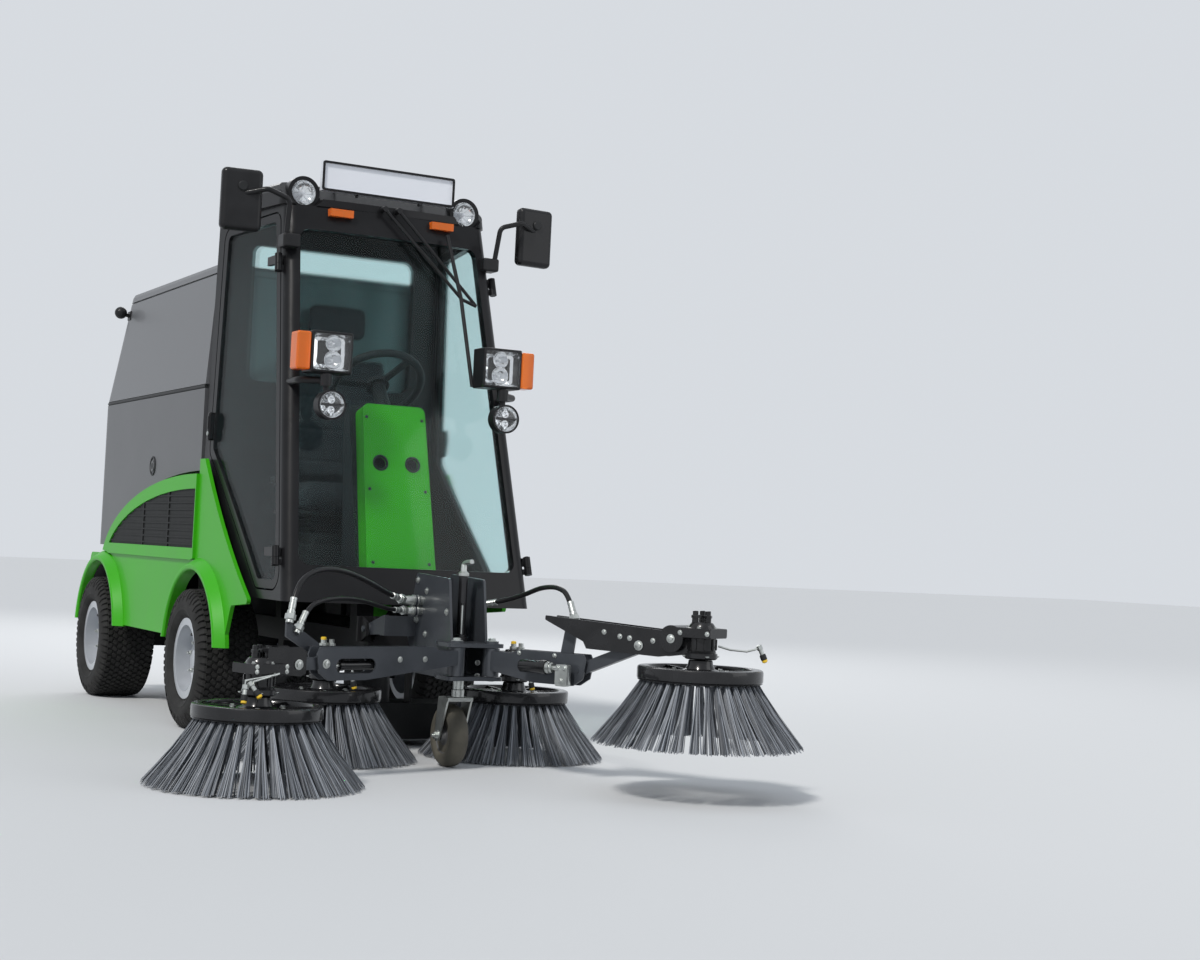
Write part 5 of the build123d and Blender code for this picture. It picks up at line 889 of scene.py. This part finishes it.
def settle(piece):
    """Make the form that a piece's modifiers give it its own mesh."""
    mesh = bpy.data.meshes.new_from_object(piece.evaluated_get(bpy.context.evaluated_depsgraph_get()))
    piece.modifiers.clear()
    piece.data = mesh


def puff(piece, voxel, most):
    """Swell a closed form by cloth simulation, each point by so many millimetres at most."""
    remesh = piece.modifiers.new("remesh", "REMESH")
    remesh.mode = "VOXEL"
    remesh.voxel_size = voxel
    settle(piece)
    before = [vertex.co.copy() for vertex in piece.data.vertices]
    cloth = piece.modifiers.new("cloth", "CLOTH")
    cloth.settings.use_pressure = True
    cloth.settings.uniform_pressure_force = 4.0
    cloth.settings.effector_weights.gravity = 0.0
    cloth.point_cache.frame_start = 1
    cloth.point_cache.frame_end = CLOTH_FRAMES
    for number in range(1, CLOTH_FRAMES + 1):
        scene.frame_set(number)
    settle(piece)
    for vertex, start in zip(piece.data.vertices, before):
        move = vertex.co - start
        if move.length > most / 1000:
            vertex.co = start + move.normalized() * most / 1000
    scene.frame_set(1)


def finish_pad(piece, seams, depth, along, out):
    """Sew seams into a pad's outer side, at millimetres along a direction, then smooth and finish it."""
    for vertex in piece.data.vertices:
        place = (vertex.co - GROUND).dot(along) * 1000
        for seam in seams:
            near = abs(place - seam) / SEAM_HALF
            if near < 1:
                vertex.co -= out * depth / 1000 * (1 - near) ** 2 * max(0.0, vertex.normal.dot(out))
    smooth = piece.modifiers.new("smooth", "SUBSURF")
    smooth.levels = smooth.render_levels = 1
    settle(piece)
    piece.data.shade_smooth()
    piece.data.materials.clear()
    piece.data.materials.append(materials["seat_fabric"])
    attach(piece, "root")
    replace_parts(piece, "seat")


def make_seat():
    lean = Matrix.Translation(at(0, -34, 861)) @ turn(radians(-4), "X")
    upright = turn(pi / 2, "X")
    # name, place, half size, corner, pinch, voxel, most that it swells; seams, their depth, direction, outer side
    for name, matrix, half, corner, pinch, voxel, most, *seams in (
        ("seat_cushion", Matrix.Translation(at(0, -155, 852)), (224, 168, 44), 34, 4, 0.006, 22,
         (-85, 85), 7, ACROSS, UP),
        ("seat_back", lean @ shift(z=295) @ upright, (204, 255, 33), 28, 3, 0.006, 16,
         (1000, 1120, 1240), 6, UP, AHEAD),
        ("headrest", lean @ shift(y=3, z=675) @ upright, (112, 62, 30), 26, 2, 0.005, 10, (), 0, UP, AHEAD),
    ):
        pad = rounded_block(name, matrix, half, corner, pinch)
        puff(pad, voxel, most)
        finish_pad(pad, *seams)
    form = Form()
    form.plate(at(0, -145, 530), UP, (190, 155, 30), 160, 4)
    form.plate(at(0, -145, 690), UP, (165, 135, 24), 40, 3)
    for fold, size in enumerate(((160, 124, 26), (178, 140, 26)) * 2):
        form.plate(at(0, -145, 730 + 17 * fold), UP, size, 17, 3)
    form.plate(at(0, -155, 798), UP, (220, 165, 30), 12, 2)
    for side in BOTH:
        form.tube([lean @ (Vector((side * 60, 4, z)) / 1000) for z in (530, 580, 640)], 7, 14, 1)
        form.plate(at(side * 235, -120, 905), UP, (14, 90, 12), 26, 4)
    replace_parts(form.make("seat_base", "root", ["black_plastic", "post_steel"]), "seat")


# Hopper: a rubber strip in its seam, and the rings of its side plugs
STRIP_X, STRIP_Y, STRIP_Z, STRIP_BEND = 465, 1694, 1260, 150


def make_hopper_strips():
    form = Form()
    half = [(STRIP_X, 112), (STRIP_X, STRIP_Y - STRIP_BEND)]
    for step in range(1, 9):
        angle = pi / 16 * step
        half.append((STRIP_X - STRIP_BEND * (1 - cos(angle)), STRIP_Y - STRIP_BEND * (1 - sin(angle))))
    form.tube([at(-x, y, STRIP_Z) for x, y in half] + [at(x, y, STRIP_Z) for x, y in reversed(half)], 7, 10)
    for side in BOTH:
        spot = at(side * 470, 773, 973)
        form.lathe(spot, ACROSS * side, [(-1, 39), (2.5, 39), (4, 37), (4, 33), (2, 31.5), (-1, 31)], 48, 0, "none")
        form.lathe(spot, ACROSS * side, [(0, 18), (2, 18), (3.5, 16)], 32)
    form.make("hopper_seal", "hopper", ["black_plastic"])


def make_cab_trim():
    """The rings in the console's openings, and its screws."""
    form = Form()
    lean = Vector((0, 152, 590)).normalized()
    out = Vector((0, -590, 152)).normalized()
    for side in BOTH:
        ring = [(-2, 29), (2, 29), (3.5, 27), (3.5, 22.5), (0.5, 21), (-2, 20)]
        form.lathe(at(side * 60, -752, 600) + lean * 0.396, out, ring, 36, 0, "none")
    for x, along in product((-104, 104), (40, 300, 560)):
        form.bolt(at(x, -752, 600) + lean * along / 1000, out, 4, 3, 1)
    form.make("console_rings", "root", ["black_plastic", "post_steel"])


def make_liners():
    """The rear wheel arches' liners, and the walls between them and the frame."""
    form = Form()
    steps = 28
    for side in BOTH:
        arch = []
        for step in range(steps + 1):
            angle = radians(37 + 115 * step / steps)
            arch.append([at(side * x, 1400, 254) + about_axle(radius, angle)
                         for radius, x in ((313, 292), (313, 483), (317, 483), (317, 292))])
        form.loft(arch)
        corners = ((1090, 340), (1652, 340), (1652, 600), (1090, 600))
        form.loft([[at(side * x, y, z) for y, z in corners] for x in (294, 290)])
    form.make("rear_liners", "root", ["black_plastic"])


def make_rear():
    """Frames and lenses of the rear lamps, bolts, and the hopper door's latch, bolts and hinge straps."""
    form = Form()
    for side in BOTH:
        spot = facing(at(side * 385, 1715.5, 515), BEHIND)
        form.border(spot, rounded_outline(38, 48, 7), rounded_outline(31, 41, 4), 5)
        form.plate(at(side * 385, 1715.5, 542), BEHIND, (30, 13, 3), 3.4, 0.8, 1)
        form.plate(at(side * 385, 1715.5, 501), BEHIND, (30, 26, 3), 2.6, 0.8, 2)
        for rib in range(-2, 3):
            form.plate(at(side * 385 + rib * 11, 1717.5, 501), BEHIND, (1.6, 23, 1, 2), 1.6, 0.4, 2)
        for x, z in product((150, 290), (362, 540)):
            form.bolt(at(side * x, 1690, z), BEHIND, 8, 7, 3)
        form.bolt(at(side * 402, 1690, 360), BEHIND, 6, 5, 3)
        for x in (262, 280):
            form.lathe(at(side * x, 1724, 620), ACROSS, [(-2, 11), (2, 11), (3, 9)], 24, 3)
    form.make("rear_lamp_frames", "root", ["black_plastic", "amber_plastic", "red_plastic", "galvanised"])

    form = Form()
    for x, z in product((-219, 221), (1136, 1162)):
        form.bolt(at(x, 1710, z), BEHIND, 5, 4, 1)
    form.plate(at(0, 1730, 726), BEHIND, (34, 10, 5), 5, 1.5)
    form.lathe(at(0, 1734, 726), BEHIND, [(0, 7), (2, 7), (3, 5)], 24, 1)
    for side in BOTH:
        form.plate(at(side * 292, 1704, 760), BEHIND, (12, 26, 4), 6, 1.5)
        for z in (748, 772):
            form.bolt(at(side * 292, 1710, z), BEHIND, 4, 3, 1)
    form.make("hopper_door_fittings", "hopper_door", ["black_plastic", "galvanised"])


def make_engine():
    """The engine bay, seen when the hopper is tipped: covers, pulleys, filter, silencer and cooler."""
    form = Form()
    for x in (-110, 110):
        form.plate(at(x, 600, 779), UP, (72, 210, 26), 5, 1.5)
        for rib in range(-6, 7):
            form.plate(at(x, 600 + rib * 26, 783), UP, (48, 4, 3, 2), 4, 1)
        for y, edge in product((410, 535, 665, 790), (-60, 60)):
            form.bolt(at(x + edge, y, 784), UP, 4, 4, 2)
    form.lathe(at(0, 660, 779), UP, [(0, 24), (6, 24), (8, 20)], 24, 1)
    for x, z, radius in ((-90, 560, 66), (80, 650, 44), (95, 490, 38)):
        pulley = [(-2, 14), (10, 14), (10, radius - 6), (12, radius), (15, radius - 5), (18, radius - 5), (21, radius),
                  (23, radius - 6), (20, radius * 0.5), (26, 12), (30, 10)]
        form.lathe(at(x, 330, z), AHEAD, pulley, 48, 2)
    # air filter on the right, silencer on the left, each with its straps and pipe
    form.lathe(at(-276, 470, 680), BEHIND, [(-8, 16), (0, 40), (6, 48), (30, 48), (34, 50), (40, 50), (44, 48),
                                            (200, 48), (204, 50), (212, 50), (216, 46), (230, 40), (234, 12)], 40, 1)
    for y in (540, 620):
        form.lathe(at(-276, y, 680), BEHIND, [(0, 48), (0, 50), (14, 50), (14, 48)], 40, 2, "none")
        form.plate(at(-231, y + 7, 660), ACROSS, (7, 26, 3), 12, 1, 2)
    intake = ((-276, 704, 680), (-276, 740, 684), (-262, 772, 690), (-232, 790, 694), (-216, 792, 695))
    form.tube([at(*place) for place in intake], 24, 24, 3)
    form.lathe(at(272, 440, 600), BEHIND, [(-4, 22), (0, 42), (6, 46), (260, 46), (266, 42), (270, 22)], 40, 2)
    for y in (490, 640):
        form.lathe(at(272, y, 600), BEHIND, [(0, 46), (0, 48.5), (16, 48.5), (16, 46)], 40, 0, "none")
        form.plate(at(218, y + 8, 620), ACROSS, (7, 22, 3), 14, 1, 2)
    exhaust = ((272, 706, 600), (272, 740, 596), (272, 772, 560), (272, 780, 500), (272, 782, 420))
    form.tube([at(*place) for place in exhaust], 20, 20, 2)
    # cooler on the rear face
    form.border(facing(at(0, 900, 600), BEHIND), rounded_outline(196, 150, 14), rounded_outline(180, 134, 8), 26, 1)
    for fin in range(-24, 25):
        form.plate(at(fin * 7.4, 900, 600), BEHIND, (1.1, 134, 1, 1), 18, 0.3)
    for bar in range(-4, 5):
        form.plate(at(0, 904, 600 + bar * 29), BEHIND, (180, 3, 2, 2), 18, 0.6)
    form.make("engine_dress", "root", ["engine_grey", "black_plastic", "galvanised", "hose_rubber"])


def make_door_locks():
    """A lock with its plate on each door."""
    for name, side in SIDES.items():
        form = Form()
        barrel = [(-1, 8.5), (1.6, 8.5), (2.4, 7), (2.4, 1.5), (0.6, 1.2)]
        form.lathe(at(side * 478, 19, 1079), ACROSS * side, barrel)
        form.plate(at(side * 478, 19, 1119), ACROSS * side, (7, 24, 4), 2.4, 0.8, 1)
        form.make(f"door_lock_{name}", f"door_{name}", ["galvanised", "black_plastic"])


make_seat()
make_hopper_strips()
make_cab_trim()
make_liners()
make_rear()
make_engine()
make_door_locks()

# Stage: the floor's half width in metres, the sun's direction, and each soft lamp's place, aim and power
FLOOR_HALF = 40
SUN_TOWARDS = Vector((0.62, 0.42, -0.78))
LAMPS = {"fill": ((5000, -6000, 3500), (0, -200, 700), 60), "back": ((2500, 6500, 5000), (0, 600, 900), 150)}


def add_lamp(name, kind, place, towards, **values):
    """A lamp at a place that shines along a direction."""
    lamp_data = bpy.data.lights.new(name, kind)
    for quality, value in values.items():
        setattr(lamp_data, quality, value)
    lamp = new_object(name, lamp_data)
    lamp.matrix_world = Matrix.Translation(place) @ towards.to_track_quat("-Z", "Y").to_matrix().to_4x4()


def make_stage():
    """A pale floor, a pale world and soft lamps."""
    mesh = bpy.data.meshes.new("floor")
    corners = [(x * FLOOR_HALF, y * FLOOR_HALF, 0) for x, y in ((-1, -1), (1, -1), (1, 1), (-1, 1))]
    mesh.from_pydata(corners, [], [(0, 1, 2, 3)])
    paint = bpy.data.materials.new("floor_pale")
    paint.use_nodes = True
    set_inputs(paint.node_tree.nodes["Principled BSDF"], Base_Color=(0.60, 0.61, 0.615, 1), Roughness=0.85)
    mesh.materials.append(paint)
    new_object("floor", mesh)

    # the world gives a soft blue light, and is seen pale by the camera and in metal and glass
    world = scene.world = bpy.data.worlds.new("world")
    world.use_nodes = True
    tree = world.node_tree
    link = tree.links.new
    light = set_inputs(tree.nodes["Background"], Color=(0.82, 0.89, 1.0, 1), Strength=0.55)
    pale = add_node(tree, "Background", Color=(0.68, 0.71, 0.75, 1), Strength=1.0)
    rays = add_node(tree, "LightPath").outputs
    first, second = add_node(tree, "Math"), add_node(tree, "Math")
    first.operation = second.operation = "MAXIMUM"
    mix = add_node(tree, "MixShader")
    link(rays["Is Camera Ray"], first.inputs[0])
    link(rays["Is Glossy Ray"], first.inputs[1])
    link(first.outputs[0], second.inputs[0])
    link(rays["Is Transmission Ray"], second.inputs[1])
    for output, socket in zip((second.outputs[0], light.outputs[0], pale.outputs[0]), mix.inputs):
        link(output, socket)
    link(mix.outputs[0], tree.nodes["World Output"].inputs["Surface"])

    # the key is a broad sun from the front right of the vehicle
    add_lamp("key", "SUN", Vector(), SUN_TOWARDS, energy=2.3, angle=radians(9), color=(1.0, 0.975, 0.94))
    for name, (place, aim, power) in LAMPS.items():
        add_lamp(name, "AREA", at(*place), at(*aim) - at(*place), size=4.0, energy=power)


make_stage()
scene.view_settings.view_transform = "Standard"
